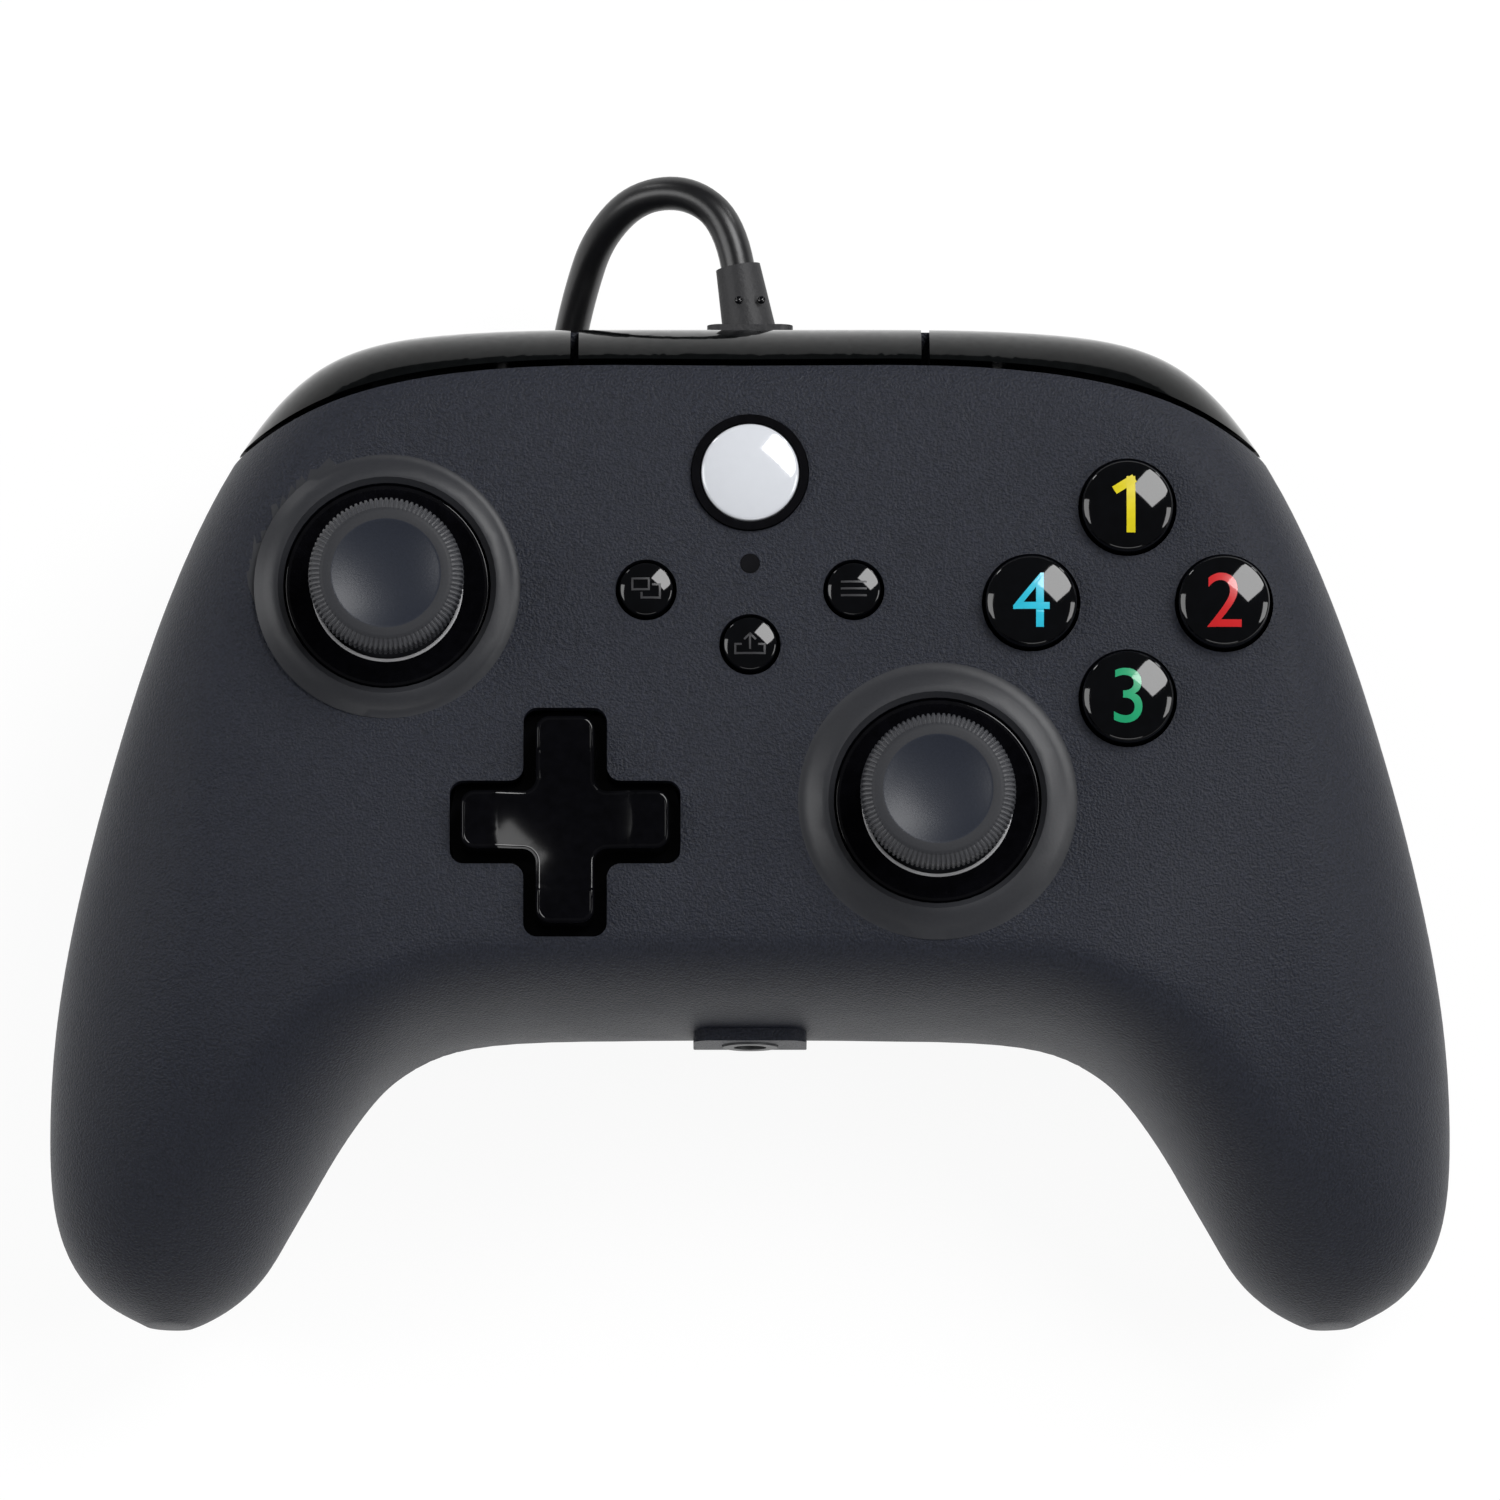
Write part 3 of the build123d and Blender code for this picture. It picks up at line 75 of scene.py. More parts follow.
def noise(tree, place, scale, detail, stretch=(1, 1, 1)):
    mapping = tree.nodes.new("ShaderNodeMapping")
    mapping.inputs["Scale"].default_value = stretch
    tree.links.new(place.outputs["Object"], mapping.inputs["Vector"])
    texture = tree.nodes.new("ShaderNodeTexNoise")
    texture.inputs["Scale"].default_value = scale
    texture.inputs["Detail"].default_value = detail
    tree.links.new(mapping.outputs["Vector"], texture.inputs["Vector"])
    return texture.outputs["Fac"]


def ramp(tree, value, low, high):
    """A colour that runs from low to high over the middle part of the value."""
    node = tree.nodes.new("ShaderNodeValToRGB")
    node.color_ramp.elements[0].position = 0.3
    node.color_ramp.elements[0].color = (*low, 1)
    node.color_ramp.elements[1].position = 0.7
    node.color_ramp.elements[1].color = (*high, 1)
    tree.links.new(value, node.inputs["Fac"])
    return node.outputs["Color"]


def spread(tree, value, low, high):
    node = tree.nodes.new("ShaderNodeMapRange")
    node.inputs["To Min"].default_value = low
    node.inputs["To Max"].default_value = high
    tree.links.new(value, node.inputs["Value"])
    return node.outputs["Result"]


def bump(tree, shader, value, depth):
    node = tree.nodes.new("ShaderNodeBump")
    node.inputs["Distance"].default_value = depth
    node.inputs["Strength"].default_value = 1.0
    tree.links.new(value, node.inputs["Height"])
    tree.links.new(node.outputs["Normal"], shader.inputs["Normal"])


def surface(name, colour, roughness, grain, depth, vary, rough_vary, metallic=0.0, specular=0.5, coat=0.0,
            stretch=(1, 1, 1)):
    """A plain surface whose colour and height vary with fine grain, and its gloss with broad patches."""
    made, tree, shader, place = new_material(name)
    fine = noise(tree, place, grain, 3, stretch)
    broad = noise(tree, place, grain / 40, 2)
    dark = tuple(channel * (1 - vary) for channel in colour)
    light = tuple(min(1, channel * (1 + vary)) for channel in colour)
    gloss = spread(tree, broad, roughness - rough_vary, roughness + rough_vary)
    tree.links.new(ramp(tree, fine, dark, light), shader.inputs["Base Color"])
    tree.links.new(gloss, shader.inputs["Roughness"])
    shader.inputs["Metallic"].default_value = metallic
    shader.inputs["Specular IOR Level"].default_value = specular
    shader.inputs["Coat Weight"].default_value = coat
    shader.inputs["Coat Roughness"].default_value = 0.03
    bump(tree, shader, fine, depth)
    return made


def board_material():
    """Green lacquer over copper tracks."""
    made, tree, shader, place = new_material("board_lacquer")
    tracks = tree.nodes.new("ShaderNodeTexBrick")
    tracks.inputs["Scale"].default_value = 260
    tracks.inputs["Mortar Size"].default_value = 0.08
    tracks.inputs["Color1"].default_value = (0.010, 0.085, 0.035, 1)
    tracks.inputs["Color2"].default_value = (0.008, 0.070, 0.030, 1)
    tracks.inputs["Mortar"].default_value = (0.030, 0.160, 0.060, 1)
    tree.links.new(place.outputs["Object"], tracks.inputs["Vector"])
    tree.links.new(tracks.outputs["Color"], shader.inputs["Base Color"])
    shader.inputs["Roughness"].default_value = 0.3
    bump(tree, shader, tracks.outputs["Fac"], 0.00003)
    return made


# Each finish: colour, roughness, scale and depth of the grain, how far colour and roughness vary, the rest
finishes = {
    "shell_plastic": ((0.0125, 0.0145, 0.0225), 0.45, 3600, 0.00018, 0.40, 0.05, {"specular": 0.22}),
    "crater_plastic": ((0.026, 0.027, 0.031), 0.40, 3400, 0.00001, 0.06, 0.04, {"specular": 0.3}),
    "gloss_black": ((0.0022, 0.0022, 0.003), 0.06, 900, 0.000002, 0.25, 0.02, {"specular": 0.35}),
    "bumper_gloss": ((0.0024, 0.0028, 0.003), 0.07, 900, 0.000002, 0.25, 0.02, {"specular": 0.16}),
    "pad_gloss": ((0.0018, 0.0018, 0.0025), 0.13, 900, 0.000002, 0.25, 0.03, {"specular": 0.12}),
    "button_gloss": ((0.0012, 0.0014, 0.002), 0.05, 700, 0.0000015, 0.25, 0.02, {"specular": 0.45}),
    "matte_black": ((0.011, 0.011, 0.012), 0.55, 3000, 0.00004, 0.2, 0.06, {}),
    "cap_rubber": ((0.018, 0.019, 0.023), 0.60, 4200, 0.00001, 0.10, 0.05, {"specular": 0.35}),
    "dish_rubber": ((0.018, 0.021, 0.030), 0.36, 4200, 0.00001, 0.08, 0.04, {"specular": 0.3}),
    # A lighter rubber for the band of teeth round the cap: painted sheen on the ridges
    "knurl_painted_sheen": ((0.034, 0.035, 0.040), 0.42, 4200, 0.00001, 0.10, 0.05, {"specular": 0.45}),
    "keypad_rubber": ((0.26, 0.28, 0.30), 0.6, 2000, 0.00002, 0.08, 0.06, {}),
    "cord_rubber": ((0.005, 0.005, 0.006), 0.34, 1500, 0.00001, 0.2, 0.05, {}),
    "boot_rubber": ((0.010, 0.010, 0.012), 0.56, 2600, 0.00006, 0.2, 0.05, {}),
    "lens_white": ((0.62, 0.64, 0.68), 0.10, 800, 0.000002, 0.01, 0.02, {"coat": 0.8}),
    # Light grey for the thin ring on the lip of each stick ring: a painted highlight
    "lip_painted_highlight": ((0.36, 0.36, 0.37), 0.22, 1200, 0.000002, 0.05, 0.03, {}),
    "steel": ((0.50, 0.50, 0.51), 0.32, 1500, 0.000006, 0.08, 0.08, {"metallic": 1.0, "stretch": (1, 1, 12)}),
    "bright_steel": ((0.62, 0.62, 0.64), 0.22, 1500, 0.000004, 0.06, 0.06, {"metallic": 1.0}),
    "brass": ((0.62, 0.46, 0.20), 0.30, 1500, 0.000006, 0.06, 0.06, {"metallic": 1.0}),
    "switch_plastic": ((0.035, 0.035, 0.04), 0.45, 2000, 0.00001, 0.1, 0.06, {}),
    # A grey far lighter than the shell, for the headset jack: painted light, for the light its boss catches
    "jack_painted_light_grey": ((0.075, 0.076, 0.080), 0.45, 2300, 0.00002, 0.08, 0.05, {}),
    "status_glass": ((0.004, 0.004, 0.005), 0.08, 700, 0.000002, 0.2, 0.02, {"coat": 0.5}),
    "mark_yellow": ((0.62, 0.52, 0.006), 0.30, 900, 0.000002, 0.06, 0.06, {"coat": 0.8}),
    "mark_light_blue": ((0.02, 0.44, 0.60), 0.30, 900, 0.000002, 0.06, 0.06, {"coat": 0.8}),
    "mark_red": ((0.50, 0.012, 0.015), 0.30, 900, 0.000002, 0.06, 0.06, {"coat": 0.8}),
    "mark_green": ((0.010, 0.30, 0.13), 0.30, 900, 0.000002, 0.06, 0.06, {"coat": 0.8}),
    "engraving": ((0.028, 0.028, 0.031), 0.4, 1200, 0.000002, 0.1, 0.06, {}),
}
finish = {name: surface(name, *values, **others) for name, (*values, others) in finishes.items()}
finish["board_lacquer"] = board_material()

slot_finish = {
    "shell_grey": "shell_plastic", "black_gloss": "gloss_black", "black_matte": "matte_black",
    "cap_rubber": "cap_rubber", "keypad_rubber": "keypad_rubber", "lens_white": "lens_white",
    "lens_clear": "status_glass", "board_green": "board_lacquer", "steel": "steel",
    "zinc_steel": "bright_steel", "brass_weight": "brass", "cord_black": "cord_rubber",
    "switch_body": "switch_plastic",
}
node_slot = {part["node"]: part["material_slot"] for part in frame["record"]["subparts"]}
for name, node in frame["nodes"].items():
    node.data.materials.clear()
    node.data.materials.append(finish[slot_finish[node_slot[name]]])

node_body = {}
for body, members in frame["record"]["behaviour"]["bodies"].items():
    for member in members:
        node_body[member] = body


def add_object(name, data, material=None):
    made = bpy.data.objects.new(name, data)
    scene.collection.objects.link(made)
    if material is not None:
        data.materials.append(material)
    return made


def smooth_mesh(name, points, faces):
    data = bpy.data.meshes.new(name)
    data.from_pydata(points, [], faces)
    data.polygons.foreach_set("use_smooth", [True] * len(data.polygons))
    data.update()
    return data


def add_mesh(name, points, faces, material):
    return add_object(name, smooth_mesh(name, points, faces), material)


def stand_for(piece, *nodes):
    """The piece takes the place and the body of these nodes."""
    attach(piece, node_body[nodes[0]])
    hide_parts(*nodes)
    return piece


def add_to(piece, body):
    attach(piece, body)
    return piece


# Cord: from the boot over and under the housing, round the coil and out to the plug, as one line
cord_diameter = 3.7
cord_route = [
    (-1.322, 61.685, 32.5), (-2.2, 66.61, 32.5), (-6.7, 70.4, 31.2), (-12.5, 70.2, 28.5), (-16.7, 66.4, 23.8),
    (-18.7, 61.4, 17.4), (-20.2, 56.0, 10.3), (-21.6, 48.9, 4.6), (-23.6, 41.6, 2.5), (-33.9, 29.6, 2.5),
    (-33.9, 16.0, 2.5),
]
plug_route = [
    (19.9, 16.0, 14.95), (19.9, 26.5, 14.95), (27.2, 33.8, 12.75), (37.6, 33.8, 7.9), (45.4, 25.6, 4.1),
    (45.4, 14.0, 4.1),
]
coil_x = -7.0
coil_y = 12.0
coil_radius = 26.9
coil_floor = 2.5
layer_count = 4
layer_rise = 4.15
half_turns = 7
turn_pitch = 4.25
end_step = 2.85
turn_corners = 6


def coil_stops():
    """Where each half turn starts: how far across from the coil's middle, and how high."""
    stops = []
    radius = coil_radius
    side = -1
    way = -1
    for layer in range(layer_count):
        height = coil_floor + layer * layer_rise
        stops.append((side * radius, height))
        for turn in range(half_turns):
            radius = radius + way * (end_step if turn in (0, half_turns - 1) else turn_pitch / 2)
            side = -side
            stops.append((side * radius, height))
        side = -side
        way = -way
    return stops


def coil_points():
    """Six corners round each half turn, just outside the round."""
    points = []
    stops = coil_stops()
    for (x_from, z_from), (x_to, z_to) in zip(stops, stops[1:]):
        middle = (x_from + x_to) / 2
        reach = (x_from - x_to) / 2 / math.cos(math.pi / (2 * turn_corners))
        for corner in range(turn_corners):
            turn = math.pi * (corner + 0.5) / turn_corners
            share = (1 - math.cos(turn)) / 2
            points.append((
                coil_x + middle + reach * math.cos(turn), coil_y + reach * math.sin(turn),
                z_from + (z_to - z_from) * share))
    return points


line = cord_route + coil_points() + plug_route
cord_curve = bpy.data.curves.new("cord", "CURVE")
cord_curve.dimensions = "3D"
spline = cord_curve.splines.new("NURBS")
spline.points.add(len(line) - 1)
for point, place in zip(spline.points, line):
    point.co = (place[0] * MM, place[1] * MM, place[2] * MM, 1)
spline.order_u = 3
spline.use_endpoint_u = True
spline.resolution_u = 8
cord_curve.bevel_depth = cord_diameter / 2 * MM
cord_curve.bevel_resolution = 6
cord_curve.use_fill_caps = True
cord = add_object("cord", cord_curve, finish["cord_rubber"])
stand_for(cord, "cord_lead", "cord_coil", "cord_plug_end")

# The envelope of the housing, for smooth shading of what is cut from it. Each slice runs from a near point
# to a far point, given as shares of half the width and half the depth. Then come its top and bottom, as shares
# of the height. Last is how far its corners reach in, as shares of its width: near and far top, near and far
# bottom.
half_width = 153.5 / 2
half_depth = 107.4 / 2
face_height = 51.5
parting_height = 38.0
parting_low = 15.5
parting_bend = 15.0
corner_pull = 0.58
side_points = 20
rows_between = 8
slice_shares = [
    ((0.000, -0.428), (0.000, 0.998), (1.000, 0.398), (0.118, 0.118, 0.21, 0.21)),
    ((0.182, -0.430), (0.208, 0.998), (1.000, 0.394), (0.118, 0.118, 0.21, 0.21)),
    ((0.339, -0.436), (0.417, 0.989), (1.000, 0.373), (0.118, 0.125, 0.21, 0.22)),
    ((0.430, -0.456), (0.599, 0.929), (0.999, 0.335), (0.130, 0.145, 0.225, 0.25)),
    ((0.489, -0.494), (0.730, 0.732), (0.992, 0.270), (0.150, 0.175, 0.26, 0.32)),
    ((0.528, -0.538), (0.827, 0.447), (0.975, 0.198), (0.200, 0.235, 0.31, 0.41)),
    ((0.563, -0.598), (0.899, 0.147), (0.934, 0.130), (0.270, 0.370, 0.38, 0.48)),
    ((0.597, -0.669), (0.954, -0.136), (0.878, 0.074), (0.330, 0.480, 0.43, 0.50)),
    ((0.629, -0.745), (0.989, -0.395), (0.804, 0.022), (0.390, 0.520, 0.45, 0.51)),
    ((0.663, -0.825), (1.000, -0.624), (0.711, 0.000), (0.446, 0.525, 0.464, 0.517)),
    ((0.698, -0.900), (0.985, -0.819), (0.602, 0.045), (0.470, 0.505, 0.47, 0.505)),
    ((0.749, -0.963), (0.925, -0.944), (0.485, 0.136), (0.480, 0.490, 0.48, 0.49)),
    ((0.795, -0.996), (0.866, -0.992), (0.388, 0.225), (0.480, 0.480, 0.48, 0.48)),
]


def parting_at(y):
    """The height of the parting, which bends down along the grips."""
    if y >= parting_bend:
        return parting_height
    return parting_height - (parting_height - parting_low) * (parting_bend - y) / (parting_bend + half_depth)


def slice_points(row, side):
    """One slice of the envelope as points: corner, flat, corner, corner, flat, corner."""
    near_share, far_share, heights, reaches = row
    near = np.array([side * near_share[0] * half_width, near_share[1] * half_depth, 0.0])
    far = np.array([side * far_share[0] * half_width, far_share[1] * half_depth, 0.0])
    width = np.linalg.norm(far - near)
    along = (far - near) / width
    near[2] = parting_at(near[1])
    far[2] = parting_at(far[1])
    top, bottom = face_height * heights[0], face_height * heights[1]
    near_in, far_in, near_under, far_under = [width * share for share in reaches]
    up = np.array([0.0, 0.0, 1.0])
    t = np.linspace(0, 1, side_points, endpoint=False)[:, None]

    def at(base, height, shift):
        return np.array([base[0], base[1], height]) + along * shift

    def corner(start, start_way, end, end_way):
        first = start + start_way * corner_pull
        second = end - end_way * corner_pull
        rest = 1 - t
        return rest ** 3 * start + 3 * rest ** 2 * t * first + 3 * rest * t ** 2 * second + t ** 3 * end

    def flat(start, end):
        return start + (end - start) * t

    near_top, far_top = at(near, top, near_in), at(far, top, -far_in)
    far_low, near_low = at(far, bottom, -far_under), at(near, bottom, near_under)
    return np.concatenate([
        corner(near, up * (top - near[2]), near_top, along * near_in), flat(near_top, far_top),
        corner(far_top, along * far_in, far, up * (far[2] - top)),
        corner(far, up * (bottom - far[2]), far_low, along * -far_under), flat(far_low, near_low),
        corner(near_low, along * -near_under, near, up * (near[2] - bottom)),
    ])


def spline_rows(rows, steps):
    """Rows in between, by a natural cubic through the given rows."""
    rows = np.array(rows)
    gaps = np.linalg.norm(np.diff(rows, axis=0), axis=2).mean(axis=1)
    count = len(rows)
    matrix = np.eye(count)
    known = np.zeros_like(rows)
    for i in range(1, count - 1):
        before, after = gaps[i - 1], gaps[i]
        matrix[i, i - 1:i + 2] = before, 2 * (before + after), after
        known[i] = 6 * ((rows[i + 1] - rows[i]) / after - (rows[i] - rows[i - 1]) / before)
    bend = np.linalg.solve(matrix, known.reshape(count, -1)).reshape(rows.shape)
    made = []
    for i in range(count - 1):
        gap = gaps[i]
        for step in range(steps):
            a = 1 - step / steps
            b = 1 - a
            made.append(
                a * rows[i] + b * rows[i + 1]
                + ((a ** 3 - a) * bend[i] + (b ** 3 - b) * bend[i + 1]) * gap ** 2 / 6)
    made.append(rows[-1])
    return np.array(made)


left_slices = [slice_points(row, -1) for row in reversed(slice_shares[1:])]
right_slices = [slice_points(row, 1) for row in slice_shares]
envelope = spline_rows(left_slices + right_slices, rows_between)
across = np.roll(envelope, -1, axis=1) - np.roll(envelope, 1, axis=1)
outward = np.cross(across, np.gradient(envelope, axis=0))
outward /= np.linalg.norm(outward, axis=2)[..., None] + 1e-12
top_middle = outward[len(outward) // 2][side_points * 3 // 2]
if top_middle[2] < 0:
    outward = -outward
tree_points = envelope.reshape(-1, 3) * MM
tree_normals = outward.reshape(-1, 3)
finder = kdtree.KDTree(len(tree_points))
for index, place in enumerate(tree_points):
    finder.insert(place, index)
finder.balance()

# A corner of a skin takes the envelope's normal where it lies this close to it and faces much the same way
envelope_gap = 0.00012
envelope_facing = 0.80


def envelope_normal(place):
    """How far the place is from the envelope, and the envelope's normal there by its six nearest points."""
    total = Vector((0, 0, 0))
    nearest = None
    for spot, index, distance in finder.find_n(place, 6):
        normal = Vector(tree_normals[index])
        if nearest is None:
            nearest = abs((place - spot).dot(normal))
        total += normal / (distance + 2e-5)
    return nearest, total.normalized()


def joined(source):
    """The corners of a mesh, with those in one place joined, and its triangles."""
    index_at = {}
    places = []
    corner_of = []
    for vertex in source.vertices:
        key = tuple(round(value, 7) for value in vertex.co)
        index = index_at.setdefault(key, len(index_at))
        if index == len(places):
            places.append(None)
        places[index] = vertex.co.copy()
        corner_of.append(index)
    faces = []
    for polygon in source.polygons:
        corners = [corner_of[index] for index in polygon.vertices]
        if len(set(corners)) == 3:
            faces.append(corners)
    return places, faces


def skin(node, material, sharp=35.0, on_envelope=False):
    """A copy of a node's mesh with its own smooth normals, which shades like the true surface."""
    name = node + "_skin"
    places, faces = joined(frame["nodes"][node].data)
    data = smooth_mesh(name, places, faces)
    face_normals = [polygon.normal.copy() for polygon in data.polygons]
    face_areas = [polygon.area for polygon in data.polygons]
    around = [[] for _ in places]
    for polygon in data.polygons:
        for index in polygon.vertices:
            around[index].append(polygon.index)
    limit = math.cos(math.radians(sharp))
    loop_normals = []
    for polygon in data.polygons:
        own = face_normals[polygon.index]
        for index in polygon.vertices:
            if on_envelope:
                off, normal = envelope_normal(places[index])
                if off < envelope_gap and normal.dot(own) > envelope_facing:
                    loop_normals.append(normal)
                    continue
            total = Vector((0, 0, 0))
            for other in around[index]:
                if face_normals[other].dot(own) > limit:
                    total += face_normals[other] * face_areas[other]
            loop_normals.append(total.normalized() if total.length > 0 else own)
    data.normals_split_custom_set(loop_normals)
    return stand_for(add_object(name, data, material), node)


for node in ("front_shell", "back_shell"):
    skin(node, finish["shell_plastic"], on_envelope=True)
for node in ("bumper_bridge", "left_bumper", "right_bumper"):
    skin(node, finish["bumper_gloss"], on_envelope=True)
for node in ("left_trigger", "right_trigger"):
    skin(node, finish["matte_black"])
skin("direction_pad", finish["pad_gloss"], 40)
skin("plug_overmould", finish["boot_rubber"], 50)
# The headset jack in the lighter grey: painted light
skin("headset_jack", finish["jack_painted_light_grey"])
skin("cord_boot", finish["boot_rubber"], 40)
for node in ("home_ring", "status_lens", "cord_ties", "usb_plug"):
    skin(node, finish[slot_finish[node_slot[node]]])


# Turned pieces
def lathe(name, profile, x, y, material, segments=128, ripple=None):
    """An outline in radius and height, turned about a vertical line; ripple changes the radius on the way."""
    points = []
    faces = []
    count = len(profile)
    for step in range(segments):
        turn = 2 * math.pi * step / segments
        for radius, z in profile:
            reach = radius if ripple is None else ripple(radius, z, step)
            points.append(((x + reach * math.cos(turn)) * MM, (y + reach * math.sin(turn)) * MM, z * MM))
    for step in range(segments):
        here, there = step * count, (step + 1) % segments * count
        for i in range(count - 1):
            faces.append((here + i, there + i, there + i + 1, here + i + 1))
    return add_mesh(name, points, faces, material)


def rounded(profile, reach, steps=4):
    """The outline with each inner corner rounded by a short curve."""
    largest_cut = 0.45
    made = [profile[0]]
    for before, here, after in zip(profile, profile[1:], profile[2:]):
        into = np.array(before) - np.array(here)
        out = np.array(after) - np.array(here)
        cut = min(reach, np.linalg.norm(into) * largest_cut, np.linalg.norm(out) * largest_cut)
        start = np.array(here) + into / np.linalg.norm(into) * cut
        end = np.array(here) + out / np.linalg.norm(out) * cut
        for step in range(steps + 1):
            t = step / steps
            made.append(tuple((1 - t) ** 2 * start + 2 * (1 - t) * t * np.array(here) + t * t * end))
    made.append(profile[-1])
    return made


sticks = {"left": (-39.5, 23.5), "right": (20.4, -0.1)}
pivot = 42.5


def stick_distance(spot):
    return min(math.hypot(spot.x - x, spot.y - y) for x, y in sticks.values())


# The raised surround of each stick is smooth where the rest of the shell is grained
surround_middle = 15.3
surround_edge = 15.6
surround_low = 49.5
facing_up = 0.1
shell = bpy.data.objects["front_shell_skin"]
shell.data.materials.append(finish["crater_plastic"])
for polygon in shell.data.polygons:
    centre = polygon.center / MM
    reach = max(stick_distance(shell.data.vertices[index].co / MM) for index in polygon.vertices)
    inside = stick_distance(centre) < surround_middle and reach < surround_edge
    if inside and centre.z > surround_low and polygon.normal.z > facing_up:
        polygon.material_index = 1


def arc(radius, angles):
    """Part of a sphere's outline about the pivot, at angles in degrees from straight up."""
    return [
        (radius * math.sin(math.radians(angle)), pivot + radius * math.cos(math.radians(angle)))
        for angle in angles]


# The rubber cap: dish, smooth ring, two rows of teeth, neck and dome
top = 61.5
dish_radius, dish_depth, dish_steps = 5.9, 0.85, 14
dome_radius, dome_inside = 10.2, 9.3
dish = [
    (dish_radius * i / dish_steps, top - dish_depth + dish_depth * (i / dish_steps) ** 2.2)
    for i in range(dish_steps + 1)]
rim = [(6.3, top + 0.0), (6.9, top - 0.05), (7.25, top - 0.22)]
edge = [
    (7.5, top - 0.3), (8.1, top - 0.62), (8.4, top - 0.95), (8.43, top - 1.9), (8.2, top - 2.05),
    (8.2, top - 2.2), (8.45, top - 2.35), (8.45, top - 3.3), (8.2, top - 3.8), (7.75, top - 4.2)]
neck = [(3.9, top - 4.2), (3.35, top - 4.5), (3.2, top - 5.2), (3.2, arc(dome_radius, [22])[0][1])]
dome = arc(dome_radius, range(22, 63, 4))
dome_under = arc(dome_inside, range(62, 19, -6))
cap_outline = rounded(dish + rim, 0.15) + edge + neck + dome + dome_under
tooth_count = 92
tooth_steps = 8
groove_depth = 0.26
groove_side = 0.15
groove_inside, groove_low, groove_high = 7.4, top - 3.9, top - 0.25


def teeth(radius, z, step):
    """The cap's radius with a groove between each two teeth, deepest in the middle."""
    if radius <= groove_inside or not groove_low < z < groove_high:
        return radius
    if step % tooth_steps in (3, 4):
        return radius - groove_depth
    if step % tooth_steps in (2, 5):
        return radius - groove_side
    return radius


# The glossy ring round the opening, and a thin light grey ring on its lip, which is a painted highlight
gap_sphere = 10.6
bore = 7.9
ring_low = pivot + math.sqrt(gap_sphere ** 2 - bore ** 2)
ring_outline = rounded([
    (bore, ring_low), (bore, 50.9), (8.0, 51.05), (10.7, 51.85), (11.0, 51.82), (11.1, 51.7), (11.1, 49.1),
    (13.0, 49.1), (13.0, 47.8), (9.16, 47.8), (bore, ring_low)], 0.1)
lip_highlight_outline = [(7.92, 51.02), (8.02, 51.12), (8.2, 51.17), (8.28, 51.13), (8.1, 51.0), (7.92, 51.02)]

for side, (x, y) in sticks.items():
    cap = lathe(
        f"{side}_stick_cap_rubber", cap_outline, x, y, finish["cap_rubber"], tooth_count * tooth_steps, teeth)
    cap.data.materials.append(finish["dish_rubber"])
    cap.data.materials.append(finish["knurl_painted_sheen"])
    for polygon in cap.data.polygons:
        centre = polygon.center
        away = math.hypot(centre.x - x * MM, centre.y - y * MM) / MM
        if away < 6.0 and centre.z > (top - 1.0) * MM:
            polygon.material_index = 1
        # The band of teeth round the edge takes the lighter rubber, a painted sheen
        elif away > 7.2 and centre.z > (top - 3.4) * MM:
            polygon.material_index = 2
    stand_for(cap, f"{side}_stick_cap")
    ring = lathe(f"{side}_stick_ring_gloss", ring_outline, x, y, finish["gloss_black"], 160)
    stand_for(ring, f"{side}_stick_ring")
    # A thin light grey ring on the lip: a painted highlight
    ring_painted_highlight = lathe(f"{side}_stick_ring_edge", lip_highlight_outline, x, y, finish["lip_painted_highlight"], 160)
    add_to(ring_painted_highlight, "housing")

# Domed buttons with their marks: the dome's radius, the height of its edge, its rise, and the hidden flange
action_size = {"radius": 4.95, "edge": 53.1, "crown": 0.9, "flange_radius": 6.1, "flange_top": 46.8}
small_size = {"radius": 2.9, "edge": 52.2, "crown": 0.5, "flange_radius": 3.9, "flange_top": 49.1}
home_size = {"radius": 5.35, "edge": 52.0, "crown": 0.7, "flange_radius": 6.4, "flange_top": 47.7}
near_axis = 0.001


def dome_height(size, away):
    radius, crown = size["radius"], size["crown"]
    sphere = (radius * radius + crown * crown) / (2 * crown)
    return size["edge"] + crown - sphere + math.sqrt(max(sphere ** 2 - away ** 2, 0))


def button_profile(size, steps=12):
    radius, edge_height = size["radius"], size["edge"]
    flange_radius, flange_top = size["flange_radius"], size["flange_top"]
    flange_bottom = flange_top - 1.2
    domed = radius * 0.93
    return [(domed * i / steps, dome_height(size, domed * i / steps)) for i in range(steps + 1)] + [
        (radius * 0.975, edge_height + 0.02), (radius, edge_height - 0.3), (radius, flange_top),
        (flange_radius, flange_top), (flange_radius, flange_bottom), (near_axis, flange_bottom)]


def on_dome(name, outline, faces, x, y, size, lift, material):
    """Flat faces laid over a button's dome, a little above it."""
    points = []
    for px, py in outline:
        height = dome_height(size, math.hypot(px, py)) + lift
        points.append(((x + px) * MM, (y + py) * MM, height * MM))
    return add_mesh(name, points, faces, material)


